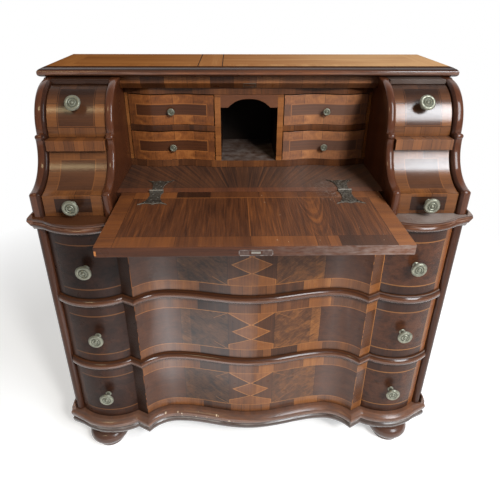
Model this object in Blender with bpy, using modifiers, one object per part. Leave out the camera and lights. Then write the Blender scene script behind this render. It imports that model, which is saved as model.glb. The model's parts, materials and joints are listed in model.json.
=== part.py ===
"""A serpentine fall-front desk of veneered walnut.

Three bowed long drawers stand below a moulded waist. Above it two S-shaped wings hold two
small drawers each, and between the wings an iron-hinged fall covers a fitted interior of four
drawers round an arched niche. The desk is drawn with its fall open and its drawers shut.

Metres, +Z up, front towards -Y. The origin lies on the floor, under the middle of the open desk.
"""
import math

import bmesh
import bpy
from mathutils import Matrix, Vector

# Overall sizes
CASE_WIDTH = 1.065            # over the outer faces of the sides
MOULDING_OVERHANG = 0.0175    # ears of the mouldings and the top board, beyond each side
CASE_DEPTH = 0.515            # front line of the sides to the back
SIDE_THICKNESS = 0.026
BACK_THICKNESS = 0.012
FIT = 0.0003                  # gap between pieces that touch
RUNNING_GAP = 0.0010          # gap round a drawer front
CUT_OVER = 0.010              # how far a cutter reaches past what it cuts

# Heights, from the floor up
FOOT_HEIGHT = 0.080
FOOT_DIAMETER = 0.120
FOOT_NECK = 0.008             # height of the neck above the bun
FOOT_NECK_RADIUS = 0.042
FOOT_BELLY_RADIUS = 0.022     # round of the bun, seen from the side
FOOT_BELLY_TURN = 75.0        # degrees of that round above and below its middle
FOOT_INSET_X = 0.089          # foot centre to the outer face of the side
FOOT_SETBACK = 0.010          # front foot centre behind the front line
REAR_FOOT_INSET = 0.075       # rear foot centre to the back
FOOT_PEG_RADIUS = 0.014
FOOT_PEG_LENGTH = 0.025
BASE_HEIGHT = 0.050
DRAWER_OPENING = 0.192        # clear height of each long drawer's opening
DIVIDER_HEIGHT = 0.024
WAIST_HEIGHT = 0.028
WAIST_ROUND = 0.020           # height of the waist's half-round nose
WAIST_LIP = 0.004             # height of the square lip along the waist's upper edge
TOP_HEIGHT = 0.023
LONG_DRAWERS = ("bottom", "middle", "top")
SIDES = (("left", -1), ("right", 1))

# Serpentine front in plan: depths run back from the front line, widths run in from the side
BOW_INSET = 0.0915            # side's inner face to the middle of the bow
BOW_FRONT = -0.032
BOW_RADIUS = 0.138
NOTCH_INSET = 0.074           # middle of the bow to the notch
FACET_WIDTH = 0.032           # notch to arris, across the front
HOLLOW_WIDTH = 0.084          # arris to the deepest line of the hollow
HOLLOW_RADIUS = 0.1183
HOLLOW_DEPTH = 0.007
BELLY_FRONT = -0.025
DIVIDER_NOSE = 0.012          # how far the mouldings stand in front of the drawers
WAIST_NOSE = 0.016
BASE_NOSE = 0.024
EAR_FRONT = -0.003            # front of the sides and of the moulding ears
WAIST_END = 0.005             # waist board beyond each side, behind its ear
EAR_ROOT = 0.010              # how far a side moulding is let into its board
EAR_EDGE = 0.004              # thin upper edge of a side moulding
EAR_EASE = 0.003              # rounding of its outer edge
WAIST_EAR_RISE = 0.011        # side moulding above and below the waist's upper face
WAIST_EAR_DROP = 0.021
WAIST_EAR_TIP = 0.008         # widest line of that moulding, below the waist's upper face
BASE_EAR_RISE = 0.028         # side moulding above and below the base's upper face
BASE_EAR_DROP = 0.012
BASE_EAR_TIP = 0.010          # where that moulding starts to slope in, above the base's upper face

# Moulding profiles from the bottom up: share of the height, share of the nose
BASE_PROFILE = ((0.0, 0.72), (0.12, 0.85), (0.28, 0.85), (0.40, 0.62), (0.52, 0.90), (0.68, 1.0),
                (0.84, 0.90), (0.94, 0.60), (1.0, 0.35))
WAIST_LIP_PROFILE = (0.70, 0.66, 0.50)    # quirk above the half-round, lip's lower and upper edge
TOP_PROFILE = ((0.0, 0.20), (0.13, 0.75), (0.35, 1.0), (0.61, 1.0), (0.83, 0.65), (0.935, 0.25),
               (1.0, 0.0))

# Long drawers
DRAWER_FRONT_BACK = 0.046     # flat inner face of a drawer front, behind the front line
DRAWER_WALL = 0.012
DRAWER_FLOOR = 0.009
DRAWER_BOX_DROP = 0.025       # box side below the top of its front
DRAWER_REAR_GAP = 0.014       # between a drawer's back and the case back

# S-shaped wings, from the waist up
OPENING_WIDTH = 0.681         # between the beads of the inner panels
INNER_BEAD_WIDTH = 0.020      # beaded front edge of an inner panel
INNER_BEAD_DEPTH = 0.022
INNER_PANEL_THICKNESS = 0.0105
WING_FACE = 0.063             # upright lower face
WING_HOLLOW_RADIUS = 0.0995
WING_NIB = 0.0125             # step between hollow and bulge
WING_NIB_RADIUS = 0.0082      # rounded nib on that step
WING_NIB_MIDDLE = (0.40, 0.52)    # middle of the nib, as parts of the step back and up
WING_BULGE_RADIUS = 0.115
WING_DRAWER_RECESS = 0.009    # drawer faces behind the panel edges
WING_SHELF_HEIGHT = 0.027
WING_SHELF_LIFT = 0.0015      # shelf top above the middle of the hollow's arc
WING_SHELF_NOSE = 0.0075      # shelf in front of the hollow's deepest line
WING_RAIL_HEIGHT = 0.0115     # rail between the upper drawer and the top
WING_RAIL_NOSE = 0.024        # that rail in front of the bulge's upper end
SMALL_WALL = 0.008            # walls and floor of the small drawers
SMALL_FRONT = 0.016           # thickness of a small drawer's front
SMALL_BOX_DROP = 0.012
TOP_SET_IN = 0.0045           # front of the top board behind the bulge's upper end
TOP_EDGE = 0.012              # depth of the top's moulded edge

# Fall, hinges and lock
FALL_THICKNESS = 0.024
FALL_SIDE_GAP = 0.0045
FALL_SLANT = 50.3             # degrees, slope of the closed fall
HINGE_SETBACK = 0.0975
HINGE_X = 0.246
HINGE_BARREL = 0.0035
HINGE_PIN = 0.0015
HINGE_PIN_GAP = 0.0003
HINGE_PIN_INSET = 0.002       # pin's ends inside the outer knuckles
HINGE_WIDTH = 0.036
HINGE_MIDDLE = 0.0115         # length of the fall leaf's knuckle
HINGE_LEAF = 0.0018
HINGE_FLARE = 0.072           # width over the fishtail's points
HINGE_LEAF_LENGTH = 0.080
FRIEZE_DROP = 0.0355          # lower edge of the rail that the fall shuts against
FALL_STOP_GAP = 0.002
LOCK_WIDTH = 0.072
LOCK_HEIGHT = 0.015
LOCK_PLATE = 0.0025
LOCK_MARGIN = 0.001           # lock plate above the fall's lower face
KEEPER_GAP = 0.004            # round the bolt in its keeper
LOCK_CASE_WIDTH = 0.050
LOCK_CASE_HEIGHT = 0.011
LOCK_CASE_DEPTH = 0.036
BOLT_WIDTH = 0.020
BOLT_HEIGHT = 0.006
BOLT_LENGTH = 0.024
BOLT_GAP = 0.0005
BOLT_THROW = 0.008

# Fitted interior
INTERIOR_GAP = 0.006          # interior behind the top edge of the closed fall
INTERIOR_BASE = 0.020
INTERIOR_TOP = 0.0185
INTERIOR_SHELF = 0.017
INTERIOR_END = 0.009
NICHE_WIDTH = 0.160
NICHE_DIVIDER = 0.017
ARCH_WIDTH = 0.118
ARCH_RISE = 0.024
ARCH_FLATNESS = 2.6           # power of the arch's curve: higher is flatter on top
ARCH_SHOULDER = 0.036         # depth of the valance at its shoulders
VALANCE_THICKNESS = 0.012
WAVE_DEPTH = 0.007            # ogee of the interior's front in plan
WAVE_LENGTH = 0.70            # as a part of the drawer bay
WAVE_SWEEP = 0.012            # how far the bay's outer end sweeps back

# Turned brass knobs
KNOB_DIAMETER = 0.040
KNOB_LENGTH = 0.030
KNOB_STEM = 0.0042
SMALL_KNOB_DIAMETER = 0.021
SMALL_KNOB_LENGTH = 0.016
SMALL_KNOB_STEM = 0.0030
SMALL_KNOB_DROP = 0.004       # below the middle of an interior drawer
KNOB_PEG = 0.012              # length of the peg in the drawer front
WING_KNOB_ANGLE = 35.0        # degrees, slope of the knob on the bulging drawer

# Curve resolution
BELLY_STEPS = 6
HOLLOW_STEPS = 4
BOW_STEPS = 7
NOSE_STEPS = 6
WING_STEPS = 8
NIB_STEPS = 5
WAVE_STEPS = 10
ARCH_STEPS = 12
FOOT_STEPS = 7
TURN_STEPS = 16

# Levels and places that follow from the sizes above
CASE_X = CASE_WIDTH / 2
INNER_X = CASE_X - SIDE_THICKNESS
EAR_X = CASE_X + MOULDING_OVERHANG
OPENING_X = OPENING_WIDTH / 2
WING_X = OPENING_X + INNER_BEAD_WIDTH
INTERIOR_X = WING_X - INNER_PANEL_THICKNESS
WING_MIDDLE = (WING_X + INNER_X) / 2
BASE_TOP = FOOT_HEIGHT + BASE_HEIGHT
DRAWER_PITCH = DRAWER_OPENING + DIVIDER_HEIGHT
WAIST_BOTTOM = BASE_TOP + len(LONG_DRAWERS) * DRAWER_PITCH - DIVIDER_HEIGHT
WAIST_TOP = WAIST_BOTTOM + WAIST_HEIGHT
WING_HOLLOW_Z = WAIST_TOP + WING_FACE + WING_HOLLOW_RADIUS
WING_BULGE_Z = WING_HOLLOW_Z + WING_NIB
WING_BULGE_SETBACK = WING_HOLLOW_RADIUS + WING_NIB + WING_BULGE_RADIUS
WING_SHELF_SETBACK = WING_HOLLOW_RADIUS - WING_SHELF_NOSE
WING_RAIL_SETBACK = WING_BULGE_SETBACK - WING_RAIL_NOSE
TOP_BOTTOM = WING_BULGE_Z + WING_BULGE_RADIUS
SHELF_TOP = WING_HOLLOW_Z + WING_SHELF_LIFT
SHELF_BOTTOM = SHELF_TOP - WING_SHELF_HEIGHT
BED_BOTTOM = WAIST_TOP + FIT
BED_TOP = BED_BOTTOM + FALL_THICKNESS
LOCK_Z = BED_BOTTOM + LOCK_MARGIN + LOCK_HEIGHT / 2
HINGE_Z = BED_TOP + 2 * FIT + HINGE_BARREL
SLANT = math.radians(FALL_SLANT)
FRIEZE_LOW = TOP_BOTTOM - FRIEZE_DROP
AXIS_LIFT = HINGE_Z - BED_TOP
FALL_LENGTH = (FRIEZE_LOW - FALL_STOP_GAP - HINGE_Z - AXIS_LIFT * math.cos(SLANT)) / math.sin(SLANT)
FALL_TOP_SETBACK = HINGE_SETBACK + FALL_LENGTH * math.cos(SLANT) - AXIS_LIFT * math.sin(SLANT)
INTERIOR_SETBACK = FALL_TOP_SETBACK + INTERIOR_GAP
# The top board covers both the wings and the rail that the fall shuts against
TOP_SETBACK = min(WING_BULGE_SETBACK + TOP_SET_IN, FALL_TOP_SETBACK - FALL_THICKNESS - TOP_EDGE)
INTERIOR_FLOOR = BED_TOP + FIT + INTERIOR_BASE
INTERIOR_CEILING = FRIEZE_LOW - FIT - INTERIOR_TOP
SHELF_MIDDLE = (INTERIOR_FLOOR + INTERIOR_CEILING) / 2
DIVIDER_X = NICHE_WIDTH / 2 + NICHE_DIVIDER
BAY_END_X = INTERIOR_X - FIT - INTERIOR_END
FALL_OVERHANG = FALL_LENGTH - HINGE_SETBACK
FRONT = -(CASE_DEPTH - FALL_OVERHANG) / 2
BACK = FRONT + CASE_DEPTH
BACK_INNER = BACK - BACK_THICKNESS - FIT
HINGE_Y = FRONT + HINGE_SETBACK

# Colour, roughness and metallic value of each finish
FINISHES = {
    "walnut": ((0.160, 0.062, 0.026, 1.0), 0.28, 0.0),
    "dark_walnut": ((0.075, 0.028, 0.014, 1.0), 0.30, 0.0),
    "softwood": ((0.420, 0.270, 0.140, 1.0), 0.65, 0.0),
    "brass": ((0.330, 0.300, 0.190, 1.0), 0.38, 1.0),
    "iron": ((0.075, 0.068, 0.060, 1.0), 0.50, 1.0),
}

# Orientations of flat outlines: which world axes their own x and y follow
PLAN = Matrix.Identity(4)
SIDE_VIEW = Matrix(((0, 0, 1, 0), (1, 0, 0, 0), (0, 1, 0, 0), (0, 0, 0, 1)))
FRONT_VIEW = Matrix(((1, 0, 0, 0), (0, 0, -1, 0), (0, 1, 0, 0), (0, 0, 0, 1)))


# Making objects

def new_collection(name):
    collection = bpy.data.collections.new(name)
    bpy.context.scene.collection.children.link(collection)
    return collection


def finish(piece, kind):
    """Gives a piece a material of its own in one of the finishes."""
    colour, roughness, metallic = FINISHES[kind]
    material = bpy.data.materials.new(piece.name + "_" + kind)
    material.use_nodes = True
    shader = material.node_tree.nodes["Principled BSDF"]
    shader.inputs["Base Color"].default_value = colour
    shader.inputs["Roughness"].default_value = roughness
    shader.inputs["Metallic"].default_value = metallic
    material.diffuse_color = colour
    piece.data.materials.clear()
    piece.data.materials.append(material)
    return piece


def add_mesh(name, mesh, collection=None):
    piece = bpy.data.objects.new(name, mesh)
    (collection or parts).objects.link(piece)
    return piece


def from_bmesh(name, bm, collection=None):
    mesh = bpy.data.meshes.new(name)
    bm.to_mesh(mesh)
    bm.free()
    return add_mesh(name, mesh, collection)


def block(name, low, high, collection=None):
    """A rectangular board between two corners."""
    low, high = Vector(low), Vector(high)
    bm = bmesh.new()
    place = Matrix.Translation((low + high) / 2) @ Matrix.Diagonal((*(high - low), 1.0))
    bmesh.ops.create_cube(bm, size=1.0, matrix=place)
    return from_bmesh(name, bm, collection)


def extruded(name, outline, view, start, end, collection=None):
    """A flat closed outline, thickened between two levels along its own z."""
    curve = bpy.data.curves.new(name, "CURVE")
    curve.dimensions = "2D"
    curve.fill_mode = "BOTH"
    curve.extrude = (end - start) / 2
    spline = curve.splines.new("POLY")
    spline.points.add(len(outline) - 1)
    for point, (u, v) in zip(spline.points, outline):
        point.co = (u, v, 0.0, 1.0)
    spline.use_cyclic_u = True
    drawing = bpy.data.objects.new(name + "_outline", curve)
    bpy.context.scene.collection.objects.link(drawing)
    evaluated = drawing.evaluated_get(bpy.context.evaluated_depsgraph_get())
    mesh = bpy.data.meshes.new_from_object(evaluated)
    bpy.data.objects.remove(drawing)
    mesh.name = name
    mesh.transform(view @ Matrix.Translation((0.0, 0.0, (start + end) / 2)))
    bm = bmesh.new()
    bm.from_mesh(mesh)
    bmesh.ops.remove_doubles(bm, verts=bm.verts, dist=0.00001)
    bmesh.ops.recalc_face_normals(bm, faces=bm.faces)
    bm.to_mesh(mesh)
    bm.free()
    return add_mesh(name, mesh, collection)


def stacked(name, sections, collection=None):
    """A moulded board: like outlines at rising levels, each extruded from the one below."""
    bm = bmesh.new()
    level, outline = sections[0]
    cap = bm.faces.new([bm.verts.new((x, y, level)) for x, y in outline])
    for step, (level, outline) in enumerate(sections[1:]):
        below = cap
        grown = bmesh.ops.extrude_face_region(bm, geom=[cap])
        cap = next(item for item in grown["geom"] if isinstance(item, bmesh.types.BMFace))
        for corner, (x, y) in zip(cap.verts, outline):
            corner.co = (x, y, level)
        if step > 0:
            bmesh.ops.delete(bm, geom=[below], context="FACES_ONLY")
    bmesh.ops.recalc_face_normals(bm, faces=bm.faces)
    return from_bmesh(name, bm, collection)


def turned(name, profile, place, collection=None):
    """A round piece: a profile of (radius, height) from top to bottom, turned about its z."""
    mesh = bpy.data.meshes.new(name)
    corners = [(radius, 0.0, height) for radius, height in profile]
    mesh.from_pydata(corners, [(i, i + 1) for i in range(len(corners) - 1)], [])
    piece = add_mesh(name, mesh, collection)
    piece.matrix_world = place
    screw = piece.modifiers.new("turn", "SCREW")
    screw.axis = "Z"
    screw.steps = TURN_STEPS
    screw.render_steps = TURN_STEPS
    screw.use_merge_vertices = True
    screw.merge_threshold = 0.00001
    screw.use_smooth_shade = True
    return piece


def as_tool(piece):
    """Moves a piece to the cutters: it shapes another piece and is none itself."""
    if piece.name in parts.objects:
        parts.objects.unlink(piece)
        cutters.objects.link(piece)
    piece.hide_render = True
    piece.display_type = "WIRE"
    return piece


def shape(target, tool, operation):
    modifier = target.modifiers.new(operation.lower(), "BOOLEAN")
    modifier.operation = operation
    modifier.solver = "EXACT"
    modifier.object = as_tool(tool)
    return target


def cut(target, tool):
    return shape(target, tool, "DIFFERENCE")


def fuse(target, tool):
    return shape(target, tool, "UNION")


def pointing(direction, position):
    """A place whose z axis points along a direction."""
    turn = Vector((0.0, 0.0, 1.0)).rotation_difference(Vector(direction))
    return Matrix.Translation(position) @ turn.to_matrix().to_4x4()


def rod(name, radius, low, high, place, collection=None):
    """A plain round rod between two heights of its own z."""
    bm = bmesh.new()
    middle = place @ Matrix.Translation((0.0, 0.0, (low + high) / 2))
    bmesh.ops.create_cone(bm, cap_ends=True, segments=TURN_STEPS, radius1=radius, radius2=radius,
                          depth=high - low, matrix=middle)
    return from_bmesh(name, bm, collection)


def mirrored(points):
    """A right half, from the middle outwards, as a whole line from left to right."""
    return [(-x, y) for x, y in reversed(points) if x > 0] + points


def arc(center, radius, start, end, steps):
    """Points on an arc, angles in degrees from +x towards +y."""
    angles = [math.radians(start + (end - start) * i / steps) for i in range(steps + 1)]
    return [(center[0] + radius * math.cos(a), center[1] + radius * math.sin(a)) for a in angles]


def crossing(center, radius, point, along):
    """The two points where a line meets a circle, in the line's own direction."""
    offset = Vector(point) - Vector(center)
    middle = -offset.dot(along)
    reach = math.sqrt(middle ** 2 - offset.length_squared + radius ** 2)
    return Vector(point) + along * (middle - reach), Vector(point) + along * (middle + reach)


# Serpentine plan of the chest

def front_plan(offset, end_x):
    """The serpentine line in plan from left to right, pushed out by an offset, ending at +-end_x."""
    bow = Vector((INNER_X - BOW_INSET, BOW_FRONT + BOW_RADIUS))
    notch_x = bow.x - NOTCH_INSET
    notch = Vector((notch_x, bow.y - math.sqrt(BOW_RADIUS ** 2 - NOTCH_INSET ** 2)))
    arris_x = notch_x - FACET_WIDTH
    trough_x = arris_x - HOLLOW_WIDTH
    hollow = Vector((trough_x, HOLLOW_DEPTH - HOLLOW_RADIUS))
    arris = Vector((arris_x, hollow.y + math.sqrt(HOLLOW_RADIUS ** 2 - HOLLOW_WIDTH ** 2)))

    along = (notch - arris).normalized()
    outwards = Vector((along.y, -along.x))
    facet = arris + outwards * offset
    arris = crossing(hollow, HOLLOW_RADIUS - offset, facet, along)[1]
    notch = crossing(bow, BOW_RADIUS + offset, facet, along)[0]

    swing = (HOLLOW_DEPTH - BELLY_FRONT) / 2
    points = []
    for i in range(BELLY_STEPS):
        phase = math.pi * i / BELLY_STEPS
        slope = swing * math.sin(phase) * math.pi / trough_x
        out = Vector((slope, -1.0)).normalized() * offset
        points.append((trough_x * i / BELLY_STEPS + out.x,
                       BELLY_FRONT + swing * (1 - math.cos(phase)) + out.y))
    arris_angle = math.degrees(math.atan2(arris.y - hollow.y, arris.x - hollow.x))
    points += arc(hollow, HOLLOW_RADIUS - offset, 90.0, arris_angle, HOLLOW_STEPS)
    notch_angle = math.degrees(math.atan2(notch.y - bow.y, notch.x - bow.x))
    end_angle = -math.degrees(math.acos((end_x - bow.x) / (BOW_RADIUS + offset)))
    points += arc(bow, BOW_RADIUS + offset, notch_angle, end_angle, BOW_STEPS)
    return [(x, FRONT + y) for x, y in mirrored(points)]


def moulded_outline(offset, ear, back_notch):
    """A moulding's outline: the serpentine, the ears at its ends, and any notch for the back panel."""
    plan = front_plan(offset, INNER_X)
    right = [(CASE_X + ear, FRONT + EAR_FRONT), (CASE_X + ear, BACK)]
    if back_notch:
        right += [(INNER_X, BACK), (INNER_X, BACK_INNER)]
    left = [(-x, y) for x, y in reversed(right)]
    return plan + right + left


def half_round(height, nose):
    """Levels and offsets of a half-round edge."""
    angles = [math.pi * (i / NOSE_STEPS - 0.5) for i in range(NOSE_STEPS + 1)]
    return [(height * (1 + math.sin(a)) / 2, nose * math.cos(a)) for a in angles]


# Chest

def make_feet():
    neck = FOOT_NECK_RADIUS
    peg_top = FOOT_HEIGHT + FOOT_PEG_LENGTH - FIT
    bun = [(0.0, peg_top), (FOOT_PEG_RADIUS, peg_top), (FOOT_PEG_RADIUS, FOOT_HEIGHT - FIT),
           (neck, FOOT_HEIGHT - FIT), (neck, FOOT_HEIGHT - FOOT_NECK)]
    middle = (FOOT_DIAMETER / 2 - FOOT_BELLY_RADIUS, (FOOT_HEIGHT - FOOT_NECK) / 2)
    bun += arc(middle, FOOT_BELLY_RADIUS, FOOT_BELLY_TURN, -FOOT_BELLY_TURN, FOOT_STEPS)
    bun += [(neck, 0.0), (0.0, 0.0)]
    rows = (("front", FRONT + FOOT_SETBACK), ("rear", BACK - REAR_FOOT_INSET))
    for row, y in rows:
        for side, sign in SIDES:
            place = Matrix.Translation((sign * (CASE_X - FOOT_INSET_X), y, 0.0))
            finish(turned("foot_" + row + "_" + side, bun, place), "dark_walnut")
            hole = rod("peg_hole_" + row + "_" + side, FOOT_PEG_RADIUS + FIT, FOOT_HEIGHT - CUT_OVER,
                       FOOT_HEIGHT + FOOT_PEG_LENGTH, place, cutters)
            cut(bpy.data.objects["base_plinth"], hole)


def make_base():
    sections = []
    for level, share in BASE_PROFILE:
        outline = moulded_outline(BASE_NOSE * share, MOULDING_OVERHANG * share, False)
        sections.append((FOOT_HEIGHT + BASE_HEIGHT * level, outline))
    base = finish(stacked("base_plinth", sections), "dark_walnut")
    tip = [(EAR_X - EAR_EASE, BASE_TOP - BASE_EAR_DROP), (EAR_X - 2 * EAR_EASE, BASE_TOP + BASE_EAR_TIP)]
    add_ears(base, BASE_TOP, BASE_EAR_DROP, BASE_EAR_RISE, tip)


def make_waist():
    quirk, lip_low, lip_high = WAIST_LIP_PROFILE
    profile = half_round(WAIST_ROUND, 1.0)[:-1]
    profile += [(WAIST_ROUND, quirk), (WAIST_HEIGHT - WAIST_LIP, lip_low), (WAIST_HEIGHT, lip_high)]
    sections = []
    for level, share in profile:
        outline = moulded_outline(WAIST_NOSE * share, WAIST_END * share, True)
        sections.append((WAIST_BOTTOM + level, outline))
    waist = finish(stacked("waist_board", sections), "walnut")
    tip = [(CASE_X + 2 * EAR_EDGE, WAIST_TOP - WAIST_EAR_DROP), (EAR_X, WAIST_TOP - WAIST_EAR_TIP),
           (EAR_X - EAR_EASE, WAIST_TOP)]
    add_ears(waist, WAIST_TOP, WAIST_EAR_DROP, WAIST_EAR_RISE, tip)


def add_ears(board, level, drop, rise, tip):
    """Joins a side moulding to each end of a board; its front end is the ear."""
    root = CASE_X - EAR_ROOT
    strip = [(root, level - drop)] + tip
    strip += [(CASE_X + EAR_EDGE, level + rise), (CASE_X + FIT, level + rise), (CASE_X + FIT, level - FIT),
              (root, level - FIT)]
    for side, sign in SIDES:
        outline = [(sign * x, z) for x, z in strip]
        name = board.name + "_ear_" + side
        rear, front = -BACK + FIT, -(FRONT + EAR_FRONT) + FIT
        fuse(board, extruded(name, outline, FRONT_VIEW, rear, front, cutters))


def make_sides():
    radius = SIDE_THICKNESS / 2
    for side, sign in SIDES:
        middle = sign * (CASE_X - radius)
        nose = arc((middle, FRONT + EAR_FRONT + radius), radius, 180.0, 360.0, WING_STEPS)
        outline = nose + [(middle + radius, BACK), (middle - radius, BACK)]
        panel = extruded("side_panel_" + side, outline, PLAN, BASE_TOP + FIT, WAIST_BOTTOM - FIT)
        finish(panel, "walnut")


def make_dividers():
    for i, name in enumerate(("lower", "upper")):
        floor = BASE_TOP + (i + 1) * DRAWER_PITCH - DIVIDER_HEIGHT
        sections = []
        for level, offset in half_round(DIVIDER_HEIGHT, DIVIDER_NOSE):
            end_x = INNER_X - FIT
            outline = front_plan(offset, end_x) + [(end_x, BACK_INNER), (-end_x, BACK_INNER)]
            sections.append((floor + level, outline))
        finish(stacked("drawer_divider_" + name, sections), "walnut")


def make_back():
    low = (-INNER_X + FIT, BACK - BACK_THICKNESS, BASE_TOP + FIT)
    high = (INNER_X - FIT, BACK, TOP_BOTTOM - FIT)
    finish(block("back_panel", low, high), "softwood")


def make_long_drawers():
    half = INNER_X - RUNNING_GAP
    front_back = FRONT + DRAWER_FRONT_BACK
    rear = BACK_INNER - DRAWER_REAR_GAP
    for i, level in enumerate(LONG_DRAWERS):
        floor = BASE_TOP + i * DRAWER_PITCH
        ceiling = floor + DRAWER_OPENING
        name = "long_drawer_" + level
        outline = front_plan(0.0, half) + [(half, front_back), (-half, front_back)]
        front = extruded(name + "_front", outline, PLAN, floor + RUNNING_GAP, ceiling - RUNNING_GAP)
        finish(front, "walnut")
        box = block(name + "_box", (-half, front_back + FIT, floor + FIT),
                    (half, rear, ceiling - DRAWER_BOX_DROP))
        finish(box, "softwood")
        inside = block(name + "_inside",
                       (-half + DRAWER_WALL, front_back + FIT + DRAWER_WALL, floor + FIT + DRAWER_FLOOR),
                       (half - DRAWER_WALL, rear - DRAWER_WALL, ceiling), cutters)
        cut(box, inside)
        pieces = [front, box]
        for side, sign in SIDES:
            seat = Vector((sign * (INNER_X - BOW_INSET), FRONT + BOW_FRONT, (floor + ceiling) / 2))
            pieces.append(add_knob(front, name + "_knob_" + side, seat, (0, -1, 0), KNOB_DIAMETER,
                                   KNOB_LENGTH, KNOB_STEM))
        hang(name, Vector((0.0, FRONT, floor)), pieces)


def add_knob(front, name, seat, direction, diameter, length, stem):
    """A turned knob: a ringed disc on a stem, with a peg let into the drawer front."""
    rim = diameter / 2
    profile = [(0.0, length), (rim * 0.22, length - rim * 0.03), (rim * 0.34, length - rim * 0.13),
               (rim * 0.86, length - rim * 0.13), (rim, length - rim * 0.28),
               (rim * 0.80, length - rim * 0.42), (stem, length - rim * 0.50), (stem, rim * 0.12),
               (rim * 0.42, rim * 0.06), (rim * 0.42, FIT), (stem, FIT), (stem, -KNOB_PEG),
               (0.0, -KNOB_PEG)]
    place = pointing(direction, seat)
    knob = finish(turned(name, profile, place), "brass")
    cut(front, rod(name + "_hole", stem + FIT, -KNOB_PEG - FIT, CUT_OVER, place, cutters))
    return knob


# Wings

def wing_profile():
    """The S-shaped front edge of a wing panel, (depth, height), from the waist to the top."""
    front = FRONT
    points = [(front, WAIST_TOP + FIT)]
    points += arc((front, WING_HOLLOW_Z), WING_HOLLOW_RADIUS, -90.0, 0.0, WING_STEPS)
    back, up = WING_NIB_MIDDLE
    nib = (front + WING_HOLLOW_RADIUS + WING_NIB * back, WING_HOLLOW_Z + WING_NIB * up)
    points += arc(nib, WING_NIB_RADIUS, 220.0, 50.0, NIB_STEPS)
    bulge = arc((front + WING_BULGE_SETBACK, WING_BULGE_Z), WING_BULGE_RADIUS, 180.0, 90.0, WING_STEPS)
    points += bulge[:-1] + [(bulge[-1][0], TOP_BOTTOM - FIT)]
    return points


def make_wing_panels():
    for side, sign in SIDES:
        for kind, inner, outer, rear in (("outer", INNER_X, CASE_X, BACK),
                                         ("inner", OPENING_X, WING_X, BACK_INNER)):
            outline = wing_profile() + [(rear, TOP_BOTTOM - FIT), (rear, WAIST_TOP + FIT)]
            low, high = sorted((sign * inner, sign * outer))
            panel = extruded("wing_" + kind + "_panel_" + side, outline, SIDE_VIEW, low, high)
            finish(panel, "walnut")
            if kind == "inner":
                cut(panel, bead_recess(side, sign))
                notch_front = FRONT + FALL_TOP_SETBACK - FALL_THICKNESS - FIT
                notch = block("rail_notch_" + side,
                              (low - CUT_OVER, notch_front, TOP_BOTTOM - WING_RAIL_HEIGHT - FIT),
                              (high + CUT_OVER, FRONT + INTERIOR_SETBACK + FIT, TOP_BOTTOM + CUT_OVER),
                              cutters)
                cut(panel, notch)


def bead_recess(side, sign):
    """What is taken off an inner panel behind its beaded edge, so that the rest is thinner."""
    line = [(y + INNER_BEAD_DEPTH, z) for y, z in wing_profile()]
    low_z, high_z = WAIST_TOP - CUT_OVER, TOP_BOTTOM + CUT_OVER
    outline = [(line[0][0], low_z)] + line + [(line[-1][0], high_z), (BACK, high_z), (BACK, low_z)]
    low, high = sorted((sign * (OPENING_X - CUT_OVER), sign * INTERIOR_X))
    return extruded("bead_recess_" + side, outline, SIDE_VIEW, low, high, cutters)


def make_wing_shelves():
    for side, sign in SIDES:
        low, high = sorted((sign * (WING_X + FIT), sign * (INNER_X - FIT)))
        shelf = block("wing_shelf_" + side, (low, FRONT + WING_SHELF_SETBACK, SHELF_BOTTOM),
                      (high, BACK_INNER, SHELF_TOP))
        finish(shelf, "walnut")


def make_top():
    sections = []
    for level, share in TOP_PROFILE:
        inset = TOP_EDGE * (1 - share)
        x = EAR_X - inset
        y = FRONT + TOP_SETBACK + inset
        sections.append((TOP_BOTTOM + TOP_HEIGHT * level, [(-x, y), (x, y), (x, BACK), (-x, BACK)]))
    finish(stacked("top_board", sections), "walnut")


def make_top_rail():
    """The frieze that the fall shuts against, lapped through the inner panels to rail the wings."""
    reach = FALL_LENGTH + FALL_STOP_GAP
    front = FRONT + FALL_TOP_SETBACK - FALL_THICKNESS * math.sin(SLANT)
    rear = FRONT + INTERIOR_SETBACK
    top = TOP_BOTTOM - FIT

    def bevel_height(y):
        return HINGE_Z + (reach - (y - HINGE_Y) * math.cos(SLANT)) / math.sin(SLANT)

    low_y = HINGE_Y + (reach - (FRIEZE_LOW - HINGE_Z) * math.sin(SLANT)) / math.cos(SLANT)
    outline = [(front, top), (front, bevel_height(front)), (low_y, FRIEZE_LOW), (rear, FRIEZE_LOW),
               (rear, top)]
    half = INTERIOR_X - FIT
    rail = finish(extruded("top_rail", outline, SIDE_VIEW, -half, half), "walnut")
    lap_low = TOP_BOTTOM - WING_RAIL_HEIGHT
    lap_front = FRONT + FALL_TOP_SETBACK - FALL_THICKNESS
    end = INNER_X - FIT
    fuse(rail, block("rail_lap", (-end, lap_front, lap_low), (end, rear, top), cutters))
    for side, sign in SIDES:
        low, high = sorted((sign * (WING_X + FIT), sign * end))
        fuse(rail, block("wing_rail_" + side, (low, FRONT + WING_RAIL_SETBACK, lap_low),
                         (high, rear - FIT, top), cutters))
    along = Vector((0.0, math.cos(SLANT), math.sin(SLANT)))
    middle = Vector((0.0, HINGE_Y, HINGE_Z)) + along * reach
    to_bolt = Vector((0.0, -math.sin(SLANT), math.cos(SLANT))) * (HINGE_Z - LOCK_Z)
    half_width = BOLT_WIDTH / 2 + KEEPER_GAP
    half_height = BOLT_HEIGHT / 2 + KEEPER_GAP
    keeper = block("keeper_slot", (-half_width, -half_height, -KEEPER_GAP),
                   (half_width, half_height, BOLT_THROW + KEEPER_GAP), cutters)
    keeper.matrix_world = pointing(along, middle + to_bolt)
    cut(rail, keeper)


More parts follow.
